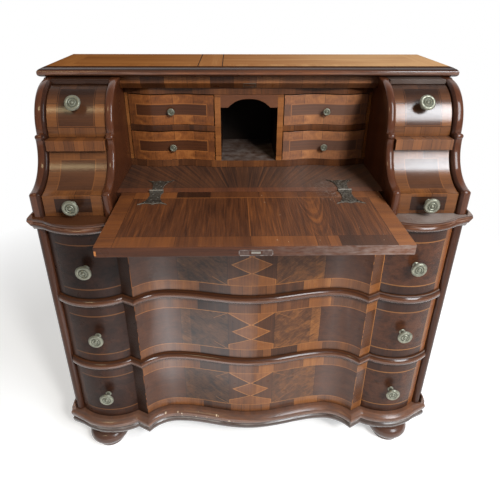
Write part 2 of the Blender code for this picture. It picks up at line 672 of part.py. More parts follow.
def make_wing_drawers():
    knob_turn = math.radians(WING_KNOB_ANGLE)
    bulge = Vector((0.0, FRONT + WING_BULGE_SETBACK, WING_BULGE_Z))
    bulge_radius = WING_BULGE_RADIUS - WING_DRAWER_RECESS
    for side, sign in SIDES:
        middle = sign * WING_MIDDLE
        out = Vector((0.0, -math.cos(knob_turn), math.sin(knob_turn)))
        seat = bulge + out * bulge_radius + Vector((middle, 0.0, 0.0))
        add_wing_drawer("wing_drawer_upper_" + side, upper_wing_face(), SHELF_TOP, middle, seat, out)
        out = Vector((0.0, -1.0, 0.0))
        seat = Vector((middle, FRONT + WING_DRAWER_RECESS, WAIST_TOP + WING_FACE / 2))
        add_wing_drawer("wing_drawer_lower_" + side, lower_wing_face(), WAIST_TOP, middle, seat, out)


def upper_wing_face():
    """Bulging face of the upper wing drawer, (y, z) from bottom to top."""
    radius = WING_BULGE_RADIUS - WING_DRAWER_RECESS
    low = SHELF_TOP + RUNNING_GAP
    high = TOP_BOTTOM - WING_RAIL_HEIGHT - RUNNING_GAP
    start = 180.0 - math.degrees(math.asin((low - WING_BULGE_Z) / radius))
    end = 180.0 - math.degrees(math.asin((high - WING_BULGE_Z) / radius))
    return arc((FRONT + WING_BULGE_SETBACK, WING_BULGE_Z), radius, start, end, WING_STEPS)


def lower_wing_face():
    """Upright and hollow face of the lower wing drawer, (y, z) from bottom to top."""
    radius = WING_HOLLOW_RADIUS + WING_DRAWER_RECESS
    high = SHELF_BOTTOM - RUNNING_GAP
    start = -math.degrees(math.acos(WING_DRAWER_RECESS / radius))
    end = math.degrees(math.asin((high - WING_HOLLOW_Z) / radius))
    curve = arc((FRONT, WING_HOLLOW_Z), radius, start, end, WING_STEPS)
    return [(FRONT + WING_DRAWER_RECESS, WAIST_TOP + RUNNING_GAP)] + curve


def add_wing_drawer(name, face, floor, middle, seat, out):
    """A small drawer whose front follows a wing's curve, with its knob at a seat on that front."""
    half = (INNER_X - WING_X) / 2 - RUNNING_GAP
    rear = BACK_INNER - DRAWER_REAR_GAP
    top = face[-1][1]
    box_top = top - SMALL_BOX_DROP
    wall = face[-1][0] + SMALL_FRONT
    outline = face + [(wall, top), (wall, box_top), (rear, box_top), (rear, floor + FIT),
                      (face[0][0] + SMALL_FRONT, floor + FIT), (face[0][0] + SMALL_FRONT, face[0][1])]
    drawer = extruded(name, outline, SIDE_VIEW, middle - half, middle + half)
    finish(drawer, "walnut")
    inside = block(name + "_inside", (middle - half + SMALL_WALL, wall, floor + FIT + SMALL_WALL),
                   (middle + half - SMALL_WALL, rear - SMALL_WALL, top + CUT_OVER), cutters)
    cut(drawer, inside)
    knob = add_knob(drawer, name + "_knob", seat, out, KNOB_DIAMETER, KNOB_LENGTH, KNOB_STEM)
    hang(name, Vector((middle, FRONT, floor)), [drawer, knob])


# Writing bed, fall, hinges and lock

def make_bed():
    low = (-INTERIOR_X + FIT, HINGE_Y + FIT, BED_BOTTOM)
    high = (INTERIOR_X - FIT, BACK_INNER, BED_TOP)
    finish(block("writing_bed", low, high), "walnut")


def make_fall():
    half = OPENING_X - FALL_SIDE_GAP
    front = HINGE_Y - FALL_LENGTH
    fall = finish(block("fall_board", (-half, front, BED_BOTTOM), (half, HINGE_Y - FIT, BED_TOP)), "walnut")
    plate = (LOCK_WIDTH, LOCK_HEIGHT)
    case = (LOCK_CASE_WIDTH, LOCK_CASE_HEIGHT)
    bar = (BOLT_WIDTH, BOLT_HEIGHT)
    cut(fall, lock_part("lock_pocket_face", plate, -CUT_OVER, LOCK_PLATE, FIT, cutters))
    cut(fall, lock_part("lock_pocket_deep", case, -CUT_OVER, LOCK_CASE_DEPTH, FIT, cutters))

    lock = finish(lock_part("fall_lock", plate, 0.0, LOCK_PLATE), "iron")
    fuse(lock, lock_part("lock_case", case, LOCK_PLATE / 2, LOCK_CASE_DEPTH, 0.0, cutters))
    cut(lock, lock_part("bolt_way", bar, -CUT_OVER, BOLT_LENGTH, BOLT_GAP, cutters))
    bolt = finish(lock_part("lock_bolt", bar, BOLT_GAP, BOLT_LENGTH), "iron")
    hang("fall", Vector((0.0, HINGE_Y, HINGE_Z)), [fall, lock])
    hang("lock", Vector((0.0, front, LOCK_Z)), [bolt], bpy.data.objects["fall_axis"])


def lock_part(name, size, near, far, gap=0.0, collection=None):
    """A block of the lock, centred on the fall's free edge, from one depth to another."""
    front = HINGE_Y - FALL_LENGTH
    half_width, half_height = size[0] / 2 + gap, size[1] / 2 + gap
    low = (-half_width, front + near, LOCK_Z - half_height)
    high = (half_width, front + far + gap, LOCK_Z + half_height)
    return block(name, low, high, collection)


def make_hinges():
    half = HINGE_WIDTH / 2
    middle = HINGE_MIDDLE / 2
    near = HINGE_BARREL + 2 * FIT
    pin_end = half - HINGE_PIN_INSET
    bed_root = [(middle + 2 * FIT, near), (middle + 2 * FIT, FIT), (half - FIT, FIT)]
    fall_root = [(middle - FIT, FIT), (middle - FIT, near), (half, near + FIT)]
    for side, sign in SIDES:
        center = sign * HINGE_X
        bed = add_leaf("hinge_bed_leaf_" + side, center, 1, bed_root)
        for low, high in ((-half, -middle - FIT), (middle + FIT, half)):
            fuse(bed, hinge_rod(bed.name + "_knuckle", HINGE_BARREL, center + low, center + high))
        fuse(bed, hinge_rod(bed.name + "_pin", HINGE_PIN, center - pin_end, center + pin_end))
        leaf = add_leaf("hinge_fall_leaf_" + side, center, -1, fall_root)
        fuse(leaf, hinge_rod(leaf.name + "_knuckle", HINGE_BARREL, center - middle, center + middle))
        cut(leaf, hinge_rod(leaf.name + "_bore", HINGE_PIN + HINGE_PIN_GAP, center - half, center + half))
        leaf.parent = bpy.data.objects["fall_axis"]
        leaf.matrix_parent_inverse = Matrix.Translation((0.0, HINGE_Y, HINGE_Z)).inverted()


def hinge_rod(name, radius, low_x, high_x):
    """A round part of a hinge, on the hinge line."""
    along_x = pointing((1.0, 0.0, 0.0), (0.0, HINGE_Y, HINGE_Z))
    return rod(name, radius, low_x, high_x, along_x, cutters)


def add_leaf(name, center, way, root):
    """A fishtail leaf on the bed (way 1) or on the fall (way -1); its root reaches into the knuckles."""
    half = HINGE_WIDTH / 2
    length = HINGE_LEAF_LENGTH
    right = root + [(half * 0.80, length * 0.25), (half * 0.86, length * 0.52), (half * 1.20, length * 0.78),
                    (HINGE_FLARE / 2, length), (half * 0.90, length * 0.90)]
    ring = right + [(0.0, length * 0.97)] + [(-x, y) for x, y in reversed(right)]
    outline = [(center + x, HINGE_Y + way * y) for x, y in ring]
    leaf = extruded(name, outline, PLAN, BED_TOP + FIT, BED_TOP + FIT + HINGE_LEAF)
    return finish(leaf, "iron")


# Fitted interior

def interior_front(x):
    """Depth of the interior's front: straight at the niche, an ogee across each drawer bay."""
    across = max(0.0, (abs(x) - DIVIDER_X) / (INTERIOR_X - DIVIDER_X))
    wave = WAVE_DEPTH * (1 - math.cos(2 * math.pi * across / WAVE_LENGTH))
    return FRONT + INTERIOR_SETBACK + wave + WAVE_SWEEP * across ** 3


def bay_line(start, end):
    """The ogee front between two distances from the middle."""
    steps = [start + (end - start) * i / WAVE_STEPS for i in range(WAVE_STEPS + 1)]
    return [(x, interior_front(x)) for x in steps]


def make_interior():
    rear = BACK_INNER - FIT
    end = INTERIOR_X - FIT
    line = mirrored(bay_line(DIVIDER_X, end))
    outline = line + [(end, rear), (-end, rear)]
    finish(extruded("interior_base", outline, PLAN, BED_TOP + FIT, INTERIOR_FLOOR), "walnut")

    frame = extruded("interior_frame", outline, PLAN, INTERIOR_CEILING, INTERIOR_CEILING + INTERIOR_TOP)
    finish(frame, "walnut")
    for side, sign in SIDES:
        wall = [(sign * x, y + FIT) for x, y in bay_line(BAY_END_X, end - FIT)]
        wall += [(sign * (end - FIT), rear - FIT), (sign * BAY_END_X, rear - FIT)]
        wall_top = INTERIOR_CEILING + INTERIOR_TOP / 2
        fuse(frame, extruded("interior_end_" + side, wall, PLAN, INTERIOR_FLOOR + FIT, wall_top, cutters))
        shelf = [(sign * x, y) for x, y in bay_line(DIVIDER_X + FIT, BAY_END_X - FIT)]
        shelf += [(sign * (BAY_END_X - FIT), rear), (sign * (DIVIDER_X + FIT), rear)]
        board = extruded("interior_shelf_" + side, shelf, PLAN, SHELF_MIDDLE - INTERIOR_SHELF / 2,
                         SHELF_MIDDLE + INTERIOR_SHELF / 2)
        finish(board, "walnut")
    make_niche(rear)
    make_interior_drawers(rear)


def make_niche(rear):
    front = interior_front(0.0)
    low, high = INTERIOR_FLOOR + FIT, INTERIOR_CEILING - FIT
    shoulder = high - ARCH_SHOULDER
    half = ARCH_WIDTH / 2
    crown = []
    for i in range(ARCH_STEPS + 1):
        x = -half + ARCH_WIDTH * i / ARCH_STEPS
        crown.append((x, shoulder + ARCH_RISE * (1 - abs(x / half) ** ARCH_FLATNESS)))
    edge = NICHE_WIDTH / 2 + NICHE_DIVIDER / 2
    outline = [(-edge, high), (-edge, shoulder)] + crown + [(edge, shoulder), (edge, high)]
    valance = extruded("niche_frame", outline, FRONT_VIEW, -front - VALANCE_THICKNESS, -front - FIT)
    finish(valance, "walnut")
    for side, sign in SIDES:
        near, far = sorted((sign * NICHE_WIDTH / 2, sign * DIVIDER_X))
        fuse(valance, block("niche_divider_" + side, (near, front, low), (far, rear, high), cutters))


def make_interior_drawers(rear):
    near, far = DIVIDER_X + RUNNING_GAP, BAY_END_X - RUNNING_GAP
    shelf_low, shelf_high = SHELF_MIDDLE - INTERIOR_SHELF / 2, SHELF_MIDDLE + INTERIOR_SHELF / 2
    rows = (("lower", INTERIOR_FLOOR, shelf_low), ("upper", shelf_high, INTERIOR_CEILING))
    back = rear - DRAWER_REAR_GAP
    for row, floor, ceiling in rows:
        for side, sign in SIDES:
            name = "interior_drawer_" + row + "_" + side
            line = [(sign * x, y) for x, y in bay_line(near, far)]
            outline = line + [(sign * far, back), (sign * near, back)]
            drawer = extruded(name, outline, PLAN, floor + FIT, ceiling - RUNNING_GAP)
            finish(drawer, "walnut")
            low_x, high_x = sorted((sign * (near + SMALL_WALL), sign * (far - SMALL_WALL)))
            wall = max(y for x, y in line) + SMALL_WALL
            cut(drawer, block(name + "_inside", (low_x, wall, floor + FIT + SMALL_WALL),
                              (high_x, back - SMALL_WALL, ceiling), cutters))
            middle = (near + far) / 2
            collar = SMALL_KNOB_DIAMETER / 4
            foremost = min(interior_front(middle - collar), interior_front(middle + collar))
            seat = Vector((sign * middle, foremost, (floor + ceiling) / 2 - SMALL_KNOB_DROP))
            knob = add_knob(drawer, name + "_knob", seat, (0, -1, 0), SMALL_KNOB_DIAMETER, SMALL_KNOB_LENGTH,
                            SMALL_KNOB_STEM)
            hang(name, Vector((sign * middle, FRONT, floor)), [drawer, knob])


# Assembly

def hang(name, position, pieces, parent=None):
    """Parents a moving body's pieces to an empty on its joint axis."""
    axis = bpy.data.objects.new(name + "_axis", None)
    parts.objects.link(axis)
    axis.empty_display_size = 0.03
    axis.location = position
    if parent:
        axis.parent = parent
        axis.matrix_parent_inverse = Matrix.Translation(parent.location).inverted()
    for piece in pieces:
        piece.parent = axis
        piece.matrix_parent_inverse = Matrix.Translation(position).inverted()


for old in list(bpy.data.objects):
    bpy.data.objects.remove(old)
parts = new_collection("fall_front_desk")
cutters = new_collection("cutters")

make_base()
make_feet()
make_sides()
make_dividers()
make_waist()
make_back()
make_long_drawers()
make_wing_panels()
make_wing_shelves()
make_top_rail()
make_top()
make_wing_drawers()
make_bed()
make_fall()
make_hinges()
make_interior()
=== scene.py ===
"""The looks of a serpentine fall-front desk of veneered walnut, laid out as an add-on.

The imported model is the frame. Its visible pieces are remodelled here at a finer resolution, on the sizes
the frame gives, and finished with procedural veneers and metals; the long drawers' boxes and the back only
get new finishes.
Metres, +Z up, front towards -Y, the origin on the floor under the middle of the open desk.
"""
import json
import math

import bmesh
import bpy
import numpy as np
from bpy.props import FloatProperty, FloatVectorProperty, PointerProperty
from mathutils import Matrix, Vector

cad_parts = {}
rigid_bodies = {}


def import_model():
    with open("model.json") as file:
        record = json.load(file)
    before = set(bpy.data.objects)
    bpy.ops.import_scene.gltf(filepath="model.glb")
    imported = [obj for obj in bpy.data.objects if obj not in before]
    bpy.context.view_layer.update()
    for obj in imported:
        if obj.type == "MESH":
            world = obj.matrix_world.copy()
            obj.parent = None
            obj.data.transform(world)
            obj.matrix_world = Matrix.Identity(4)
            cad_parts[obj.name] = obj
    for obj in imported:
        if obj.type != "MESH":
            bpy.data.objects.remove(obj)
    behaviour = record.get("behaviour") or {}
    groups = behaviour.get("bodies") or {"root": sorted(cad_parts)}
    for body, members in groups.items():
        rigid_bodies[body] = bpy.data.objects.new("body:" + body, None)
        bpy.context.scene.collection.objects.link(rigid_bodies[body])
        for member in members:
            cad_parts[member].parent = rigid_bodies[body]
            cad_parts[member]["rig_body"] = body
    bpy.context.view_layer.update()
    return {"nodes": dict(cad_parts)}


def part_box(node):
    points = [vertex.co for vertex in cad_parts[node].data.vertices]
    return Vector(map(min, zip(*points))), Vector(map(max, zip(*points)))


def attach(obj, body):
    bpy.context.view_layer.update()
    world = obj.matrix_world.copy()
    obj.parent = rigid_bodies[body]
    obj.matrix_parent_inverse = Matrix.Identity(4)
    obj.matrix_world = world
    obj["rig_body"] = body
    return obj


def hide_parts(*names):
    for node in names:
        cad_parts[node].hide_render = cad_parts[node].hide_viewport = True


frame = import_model()

bl_info = {
    "name": "Serpentine Fall-Front Desk",
    "version": (1, 0, 0),
    "blender": (4, 5, 0),
    "location": "View3D > Sidebar > Desk",
    "description": "Models and finishes the pieces of a serpentine fall-front desk",
    "category": "Add Mesh",
}

SIDES = (("left", -1), ("right", 1))
LONG_DRAWERS = ("bottom", "middle", "top")

# Gaps
FIT = 0.0003
RUNNING_GAP = 0.0010

# Serpentine front in plan: depths run back from the front line, widths run in from the side
BOW_INSET = 0.0915
BOW_FRONT = -0.032
BOW_RADIUS = 0.138
NOTCH_INSET = 0.074
FACET_WIDTH = 0.032
HOLLOW_WIDTH = 0.084
HOLLOW_RADIUS = 0.1183
HOLLOW_DEPTH = 0.007
BELLY_FRONT = -0.025
DIVIDER_NOSE = 0.012
WAIST_NOSE = 0.016
BASE_NOSE = 0.024
EAR_FRONT = -0.003

# Mouldings
WAIST_ROUND = 0.020
WAIST_LIP = 0.004
WAIST_LIP_PROFILE = (0.70, 0.76, 0.72, 0.50)   # quirk, lip, its turn and its top, as parts of the nose
WAIST_LIP_TURN = 0.35
WAIST_END = 0.005
EAR_ROOT = 0.010
EAR_EDGE = 0.004
EAR_EASE = 0.003
EAR_BEVEL = 0.0016
WAIST_EAR_RISE = 0.011
WAIST_EAR_DROP = 0.021
WAIST_EAR_TIP = 0.008
BASE_EAR_RISE = 0.028
BASE_EAR_DROP = 0.012
BASE_EAR_TIP = 0.010
BASE_PROFILE = ((0.0, 0.72), (0.12, 0.85), (0.28, 0.85), (0.40, 0.62), (0.52, 0.90), (0.68, 1.0),
                (0.84, 0.90), (0.94, 0.60), (1.0, 0.35))
TOP_PROFILE = ((0.0, 0.20), (0.13, 0.75), (0.35, 1.0), (0.61, 1.0), (0.83, 0.65), (0.935, 0.25),
               (1.0, 0.0))
TOP_EDGE = 0.012

# Feet
FOOT_NECK = 0.008
FOOT_NECK_RADIUS = 0.042
FOOT_BELLY_RADIUS = 0.022
FOOT_BELLY_TURN = 75.0
FOOT_RING = 0.002             # how far the ring at the neck stands out
FOOT_RING_DROP = 0.005

# Drawers
DRAWER_FRONT_BACK = 0.046
SMALL_WALL = 0.008
SMALL_FRONT = 0.016
SMALL_BOX_DROP = 0.012
VENEER_EDGE = 0.0014          # rounding of a drawer front's edges
FINE_EASE = 0.0006
WORN_GAP = 0.0012             # what the interior drawers' fronts have lost round their edges

# S-shaped wings
INNER_PANEL_THICKNESS = 0.0105
WING_FACE = 0.063
WING_HOLLOW_RADIUS = 0.0995
WING_NIB = 0.0125
WING_NIB_RADIUS = 0.0082
WING_KNEE = 0.0075            # rounding of a wing panel's knee
BEAD_BACK = 0.016             # depth of the inner panels' beads
WING_NIB_MIDDLE = (0.40, 0.52)
WING_BULGE_RADIUS = 0.115
WING_DRAWER_RECESS = 0.009
WING_RAIL_HEIGHT = 0.0115
BEAD_ROUND = 0.006            # how far the panels' beaded edges are rounded back
PANEL_SETBACK = 0.012         # thin inner panels behind the line of their beads
SHELF_EASE = 0.0012

# Hinges, fall and frieze
FALL_SLANT = math.radians(50.3)
FALL_STOP_GAP = 0.002
HINGE_BARREL = 0.0035
HINGE_WIDTH = 0.036
HINGE_MIDDLE = 0.0115
HINGE_FLARE = 0.072
HINGE_LEAF = 0.0018
HINGE_LEAF_LENGTH = 0.080
KNUCKLE_EASE = 0.0005
ROOT_EASE = 0.0003
ROOT_REACH = 1.3              # roots of the knuckles, of the leaf's distance
KNUCKLE_RIM = 0.9
HINGE_BEVEL = (0.7, 0.965)    # height where a leaf's bevel starts, and what it leaves of the outline
HINGE_WAIST = ((0.80, 0.25), (0.86, 0.52), (1.20, 0.78))   # half width and length, parts of the leaf
HINGE_CLEFT = ((0.90, 0.90), (0.0, 0.97))
HINGE_NAILS = ((-0.006, 0.020), (0.007, 0.036), (-0.007, 0.052), (0.0, 0.066), (-0.020, 0.071),
               (0.020, 0.071))
NAIL_PROFILE = ((0.0, 0.0012), (0.0012, 0.0010), (0.0021, 0.0005), (0.0024, -0.0004), (0.0, -0.0006))
SCREW_PROFILE = ((0.0, 0.0), (0.0016, 0.0002), (0.0028, 0.0006), (0.0030, 0.0012), (0.0, 0.0014))
SCREW_INSET = 0.008
BOLT_WIDTH = 0.020
BOLT_HEIGHT = 0.006
BOLT_WAY = (0.0040, 0.0012)   # room round the bolt in the lock plate, across and up
LOCK_CORNER = 0.0034
LOCK_WAY_CORNER = 0.0006
LOCK_EASE = 0.0002
LOCK_LEVELS = (0.0024, 0.0002, 0.0002, 0.0022)   # plate's back, face, way and way's floor behind the edge
KEEPER_MARGIN = 0.004
KEEPER_PROUD = 0.0006
KEEPER_SECTION = ((0.0, 0.0008), (0.0, 0.0), (-0.0025, 0.0), (-0.0025, 0.0007))   # growth, level
FALL_EASE = 0.0016
FALL_EDGE_BACK = 0.0006
BED_EASE = 0.0008

# Fitted interior
NICHE_WIDTH = 0.160
NICHE_DIVIDER = 0.017
ARCH_WIDTH = 0.118
ARCH_RISE = 0.024
ARCH_FLATNESS = 2.6
ARCH_SHOULDER = 0.036
VALANCE_THICKNESS = 0.012
WAVE_DEPTH = 0.007
WAVE_LENGTH = 0.70
WAVE_SWEEP = 0.012
BOARD_EASE = 0.0010
END_EASE = 0.0008
END_LAP = 0.006               # ends of the interior's frame reach into its top
VALANCE_LAP = 0.001           # valance reaches into the uprights

# Knobs
KNOB_SIZE = (0.040, 0.030, 0.0042)        # diameter, length, stem radius
SMALL_KNOB_SIZE = (0.021, 0.016, 0.0030)
WING_KNOB_ANGLE = math.radians(35.0)
# Face of a knob from its middle to its rim, as parts of the rim's radius: radius, depth
KNOB_FACE = ((0.0, 0.0), (0.09, 0.01), (0.16, 0.05), (0.20, 0.13), (0.25, 0.16), (0.31, 0.15),
             (0.35, 0.09), (0.41, 0.07), (0.46, 0.11), (0.50, 0.17), (0.58, 0.18), (0.63, 0.12),
             (0.70, 0.09), (0.80, 0.09), (0.88, 0.12), (0.95, 0.19), (1.0, 0.30), (0.97, 0.38),
             (0.86, 0.45), (0.62, 0.50))
KNOB_UNDER = 0.52             # under side of the disc below its face
KNOB_COLLAR = 0.16
# Foot of a knob down to its seat, as parts of the rim's radius: radius, height
KNOB_FOOT = ((0.40, 0.09), (0.42, 0.05))
KNOB_BALL = (0.85, 0.36)      # how far the stem's ball stands out and reaches, of stem and of length
KNOB_BALL_TURN = 80.0
# Fillets where the stem meets the disc and the collar: radius as part of the stem, height of the rim
KNOB_FILLETS = ((1.15, 0.03), (1.2, 0.02))

# Levels and places from the frame
SIDE_LOW, SIDE_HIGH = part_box("side_panel_right")
CASE_X = SIDE_HIGH.x
INNER_X = SIDE_LOW.x
FRONT = SIDE_LOW.y - EAR_FRONT
BACK = SIDE_HIGH.y
EAR_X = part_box("top_board")[1].x
FOOT_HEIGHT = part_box("base_plinth")[0].z
BASE_TOP = SIDE_LOW.z - FIT
WAIST_BOTTOM = SIDE_HIGH.z + FIT
BED_LOW, BED_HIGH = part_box("writing_bed")
WAIST_TOP = BED_LOW.z - FIT
BED_TOP = BED_HIGH.z
HINGE_Y = BED_LOW.y - FIT
HINGE_Z = BED_TOP + 2 * FIT + HINGE_BARREL
BACK_INNER = BED_HIGH.y
DIVIDER_LOW, DIVIDER_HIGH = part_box("drawer_divider_lower")
DRAWER_PITCH = DIVIDER_HIGH.z - BASE_TOP
DRAWER_OPENING = DIVIDER_LOW.z - BASE_TOP
WING_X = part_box("wing_inner_panel_right")[1].x
OPENING_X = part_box("wing_inner_panel_right")[0].x
INTERIOR_X = WING_X - INNER_PANEL_THICKNESS
WING_MIDDLE = (WING_X + INNER_X) / 2
TOP_LOW, TOP_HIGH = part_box("top_board")
TOP_BOTTOM = TOP_LOW.z
SHELF_LOW, SHELF_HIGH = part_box("wing_shelf_right")
WING_HOLLOW_Z = WAIST_TOP + WING_FACE + WING_HOLLOW_RADIUS
WING_BULGE_Z = WING_HOLLOW_Z + WING_NIB
WING_BULGE_Y = FRONT + WING_HOLLOW_RADIUS + WING_NIB + WING_BULGE_RADIUS
FALL_LOW, FALL_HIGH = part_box("fall_board")
FALL_LENGTH = HINGE_Y - FALL_LOW.y
INTERIOR_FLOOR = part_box("interior_base")[1].z
INTERIOR_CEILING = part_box("niche_frame")[1].z + FIT
INTERIOR_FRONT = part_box("interior_base")[0].y
DIVIDER_X = NICHE_WIDTH / 2 + NICHE_DIVIDER
BAY_END_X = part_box("interior_shelf_right")[1].x + FIT

# Curve resolution
BELLY_STEPS = 22
HOLLOW_STEPS = 10
BOW_STEPS = 18
NOSE_STEPS = 12
WING_STEPS = 22
KNEE_STEPS = 6
NIB_STEPS = 10
WAVE_STEPS = 28
ARCH_STEPS = 36
TURN_STEPS = 48
BEAD_STEPS = 16
FOOT_STEPS = 18
SIDE_STEPS = 20
FISHTAIL_STEPS = 5
BALL_STEPS = 10
MERGE = 0.000002              # corners closer than this become one
TOUCH = 0.0001                # faces closer to an edge than this lie on it

# Which faces take another finish: how squarely they look along an axis
SQUARE = 0.9
FLAT = 0.95
NEAR_FLAT = 0.97
ENDWISE = 0.99
INWARD = 0.18
SLANTED = 0.5
HINGE_BEVEL_FACES = (0.1, 0.92)

# Colours of grey dirt, also laid on as painted sheen and painted highlights, and of bare chipped wood
DUST_AND_SHEEN = (0.37, 0.335, 0.31)
CHIPPED = (0.60, 0.46, 0.31)

# Lamps: name, its properties, degrees up from straight down, size and colour
LAMPS = (("window_lamp", "key", 42.0, (1.3, 2.4), (0.89, 0.95, 1.0)),
         ("sun_lamp", "sun", 53.0, (0.45, 0.45), (1.0, 0.975, 0.94)),
         ("warm_lamp", "fill", 52.0, (0.75, 0.42), (1.0, 0.80, 0.45)),
         ("floor_lamp", "low", 180.0, (0.48, 0.57), (0.93, 0.965, 1.0)))
FLOOR_SIZE = 16.0
SENSOR = 36.0
UV_LAYER = "veneer"


class DeskVeneer(bpy.types.PropertyGroup):
    """Sizes and colours of the veneer."""

    band_top: FloatProperty(
        name="Upper crossband", description="Height of the crossband along a long drawer's upper edge",
        default=0.034, unit="LENGTH")
    band_low: FloatProperty(
        name="Lower crossband", description="Height of the crossband along a long drawer's lower edge",
        default=0.030, unit="LENGTH")
    line: FloatProperty(
        name="Stringing", description="Width of the light inlaid lines", default=0.0022, unit="LENGTH")
    strip: FloatProperty(
        name="Middle strip", description="Half the width of the lozenge strip", default=0.064,
        unit="LENGTH")
    joint: FloatProperty(
        name="Joint", description="Width of the dark joints between veneers", default=0.0009, unit="LENGTH")
    black: FloatVectorProperty(
        name="Darkest walnut", description="Colour of the darkest figure", subtype="COLOR",
        default=(0.0075, 0.0042, 0.0032))
    dark: FloatVectorProperty(
        name="Dark walnut", description="Colour of the dark fields", subtype="COLOR",
        default=(0.028, 0.0130, 0.0078))
    brown: FloatVectorProperty(
        name="Brown walnut", description="Colour of plain walnut", subtype="COLOR",
        default=(0.085, 0.035, 0.0150))
    orange: FloatVectorProperty(
        name="Orange walnut", description="Colour of the crossbands", subtype="COLOR",
        default=(0.190, 0.075, 0.0225))
    light: FloatVectorProperty(
        name="Light walnut", description="Colour of the lightest crossbands and of the lozenges",
        subtype="COLOR", default=(0.330, 0.148, 0.043))
    pale: FloatVectorProperty(
        name="Stringing colour", description="Colour of the inlaid lines and of worn edges",
        subtype="COLOR", default=(0.55, 0.33, 0.130))


class DeskMetal(bpy.types.PropertyGroup):
    """Colours of the metalwork and of the unpolished wood."""

    brass: FloatVectorProperty(
        name="Brass", description="Clean colour of the knobs", subtype="COLOR", default=(0.34, 0.33, 0.255))
    patina: FloatVectorProperty(
        name="Patina", description="Colour of the brass in its grooves", subtype="COLOR",
        default=(0.070, 0.078, 0.056))
    iron: FloatVectorProperty(
        name="Iron", description="Colour of the hinges and the lock", subtype="COLOR",
        default=(0.026, 0.0215, 0.0165))
    rust: FloatVectorProperty(
        name="Rust", description="Colour of the iron's stains", subtype="COLOR",
        default=(0.048, 0.032, 0.022))
    softwood: FloatVectorProperty(
        name="Softwood", description="Colour of the drawer boxes and the back", subtype="COLOR",
        default=(0.36, 0.215, 0.105))


class DeskStage(bpy.types.PropertyGroup):
    """Camera, lamps and floor."""

    camera_place: FloatVectorProperty(
        name="Camera", description="Place of the camera", subtype="XYZ", unit="LENGTH",
        default=(-0.04647, -1.18269, 1.28234))
    camera_pitch: FloatProperty(
        name="Pitch", description="How far the camera looks down", default=math.radians(27.3673),
        subtype="ANGLE")
    camera_yaw: FloatProperty(
        name="Yaw", description="How far the camera looks to the right", default=math.radians(1.6190),
        subtype="ANGLE")
    camera_roll: FloatProperty(
        name="Roll", description="How far the camera leans", default=math.radians(0.2954), subtype="ANGLE")
    camera_focal: FloatProperty(
        name="Focal length", description="Focal length as a part of the picture's width", default=0.926765)
    camera_middle: FloatVectorProperty(
        name="Middle", description="Place of the view axis in the picture, across and down", size=2,
        default=(0.490299, 0.453307))
    floor: FloatVectorProperty(
        name="Floor", description="Colour of the floor", subtype="COLOR", default=(0.80, 0.80, 0.80))
    floor_glow: FloatProperty(
        name="Floor whiteness", description="What is added to the floor as the camera sees it",
        default=0.45)
    key_power: FloatProperty(
        name="Key lamp", description="Power of the window lamp on the right", default=127.0, unit="POWER")
    key_place: FloatVectorProperty(
        name="Key lamp's place", description="Middle of the window lamp", subtype="XYZ", unit="LENGTH",
        default=(1.90, -2.16, 2.70))
    sun_power: FloatProperty(
        name="Sun lamp", description="Power of the small lamp that draws the shadows", default=70.0,
        unit="POWER")
    sun_place: FloatVectorProperty(
        name="Sun lamp's place", description="Middle of the small lamp", subtype="XYZ", unit="LENGTH",
        default=(1.18, -2.43, 2.69))
    fill_power: FloatProperty(
        name="Fill lamp", description="Power of the warm lamp on the left", default=9.5, unit="POWER")
    fill_place: FloatVectorProperty(
        name="Fill lamp's place", description="Middle of the warm lamp", subtype="XYZ", unit="LENGTH",
        default=(-1.36, -1.60, 2.81))
    low_power: FloatProperty(
        name="Floor lamp", description="Power of the soft lamp on the floor in front", default=1.7,
        unit="POWER")
    low_place: FloatVectorProperty(
        name="Floor lamp's place", description="Middle of the lamp on the floor", subtype="XYZ",
        unit="LENGTH", default=(-0.21, -0.665, 0.02))
    sky: FloatProperty(
        name="Surrounding light", description="Strength of the light from all round", default=0.22)


# Lines and profiles

def arc(center, radius, start, end, steps):
    """Points on an arc, angles in degrees from +x towards +y."""
    angles = [math.radians(start + (end - start) * i / steps) for i in range(steps + 1)]
    return [(center[0] + radius * math.cos(a), center[1] + radius * math.sin(a)) for a in angles]


def mirrored(points):
    """A right half, from the middle outwards, as a whole line from left to right."""
    return [(-x, y) for x, y in reversed(points) if x > 0] + points


def crossing(center, radius, point, along):
    """The two points where a line meets a circle, in the line's own direction."""
    offset = Vector(point) - Vector(center)
    middle = -offset.dot(along)
    reach = math.sqrt(middle ** 2 - offset.length_squared + radius ** 2)
    return Vector(point) + along * (middle - reach), Vector(point) + along * (middle + reach)


def smooth_line(points, steps):
    """A smooth line through a few points."""
    ends = [points[0]] + list(points) + [points[-1]]
    line = []
    for before, start, end, after in zip(ends, ends[1:], ends[2:], ends[3:]):
        for i in range(steps):
            t = i / steps
            weights = (-t + 2 * t ** 2 - t ** 3, 2 - 5 * t ** 2 + 3 * t ** 3,
                       t + 4 * t ** 2 - 3 * t ** 3, t ** 3 - t ** 2)
            corners = (before, start, end, after)
            line.append(tuple(sum(w * c[k] for w, c in zip(weights, corners)) / 2 for k in (0, 1)))
    return line + [points[-1]]


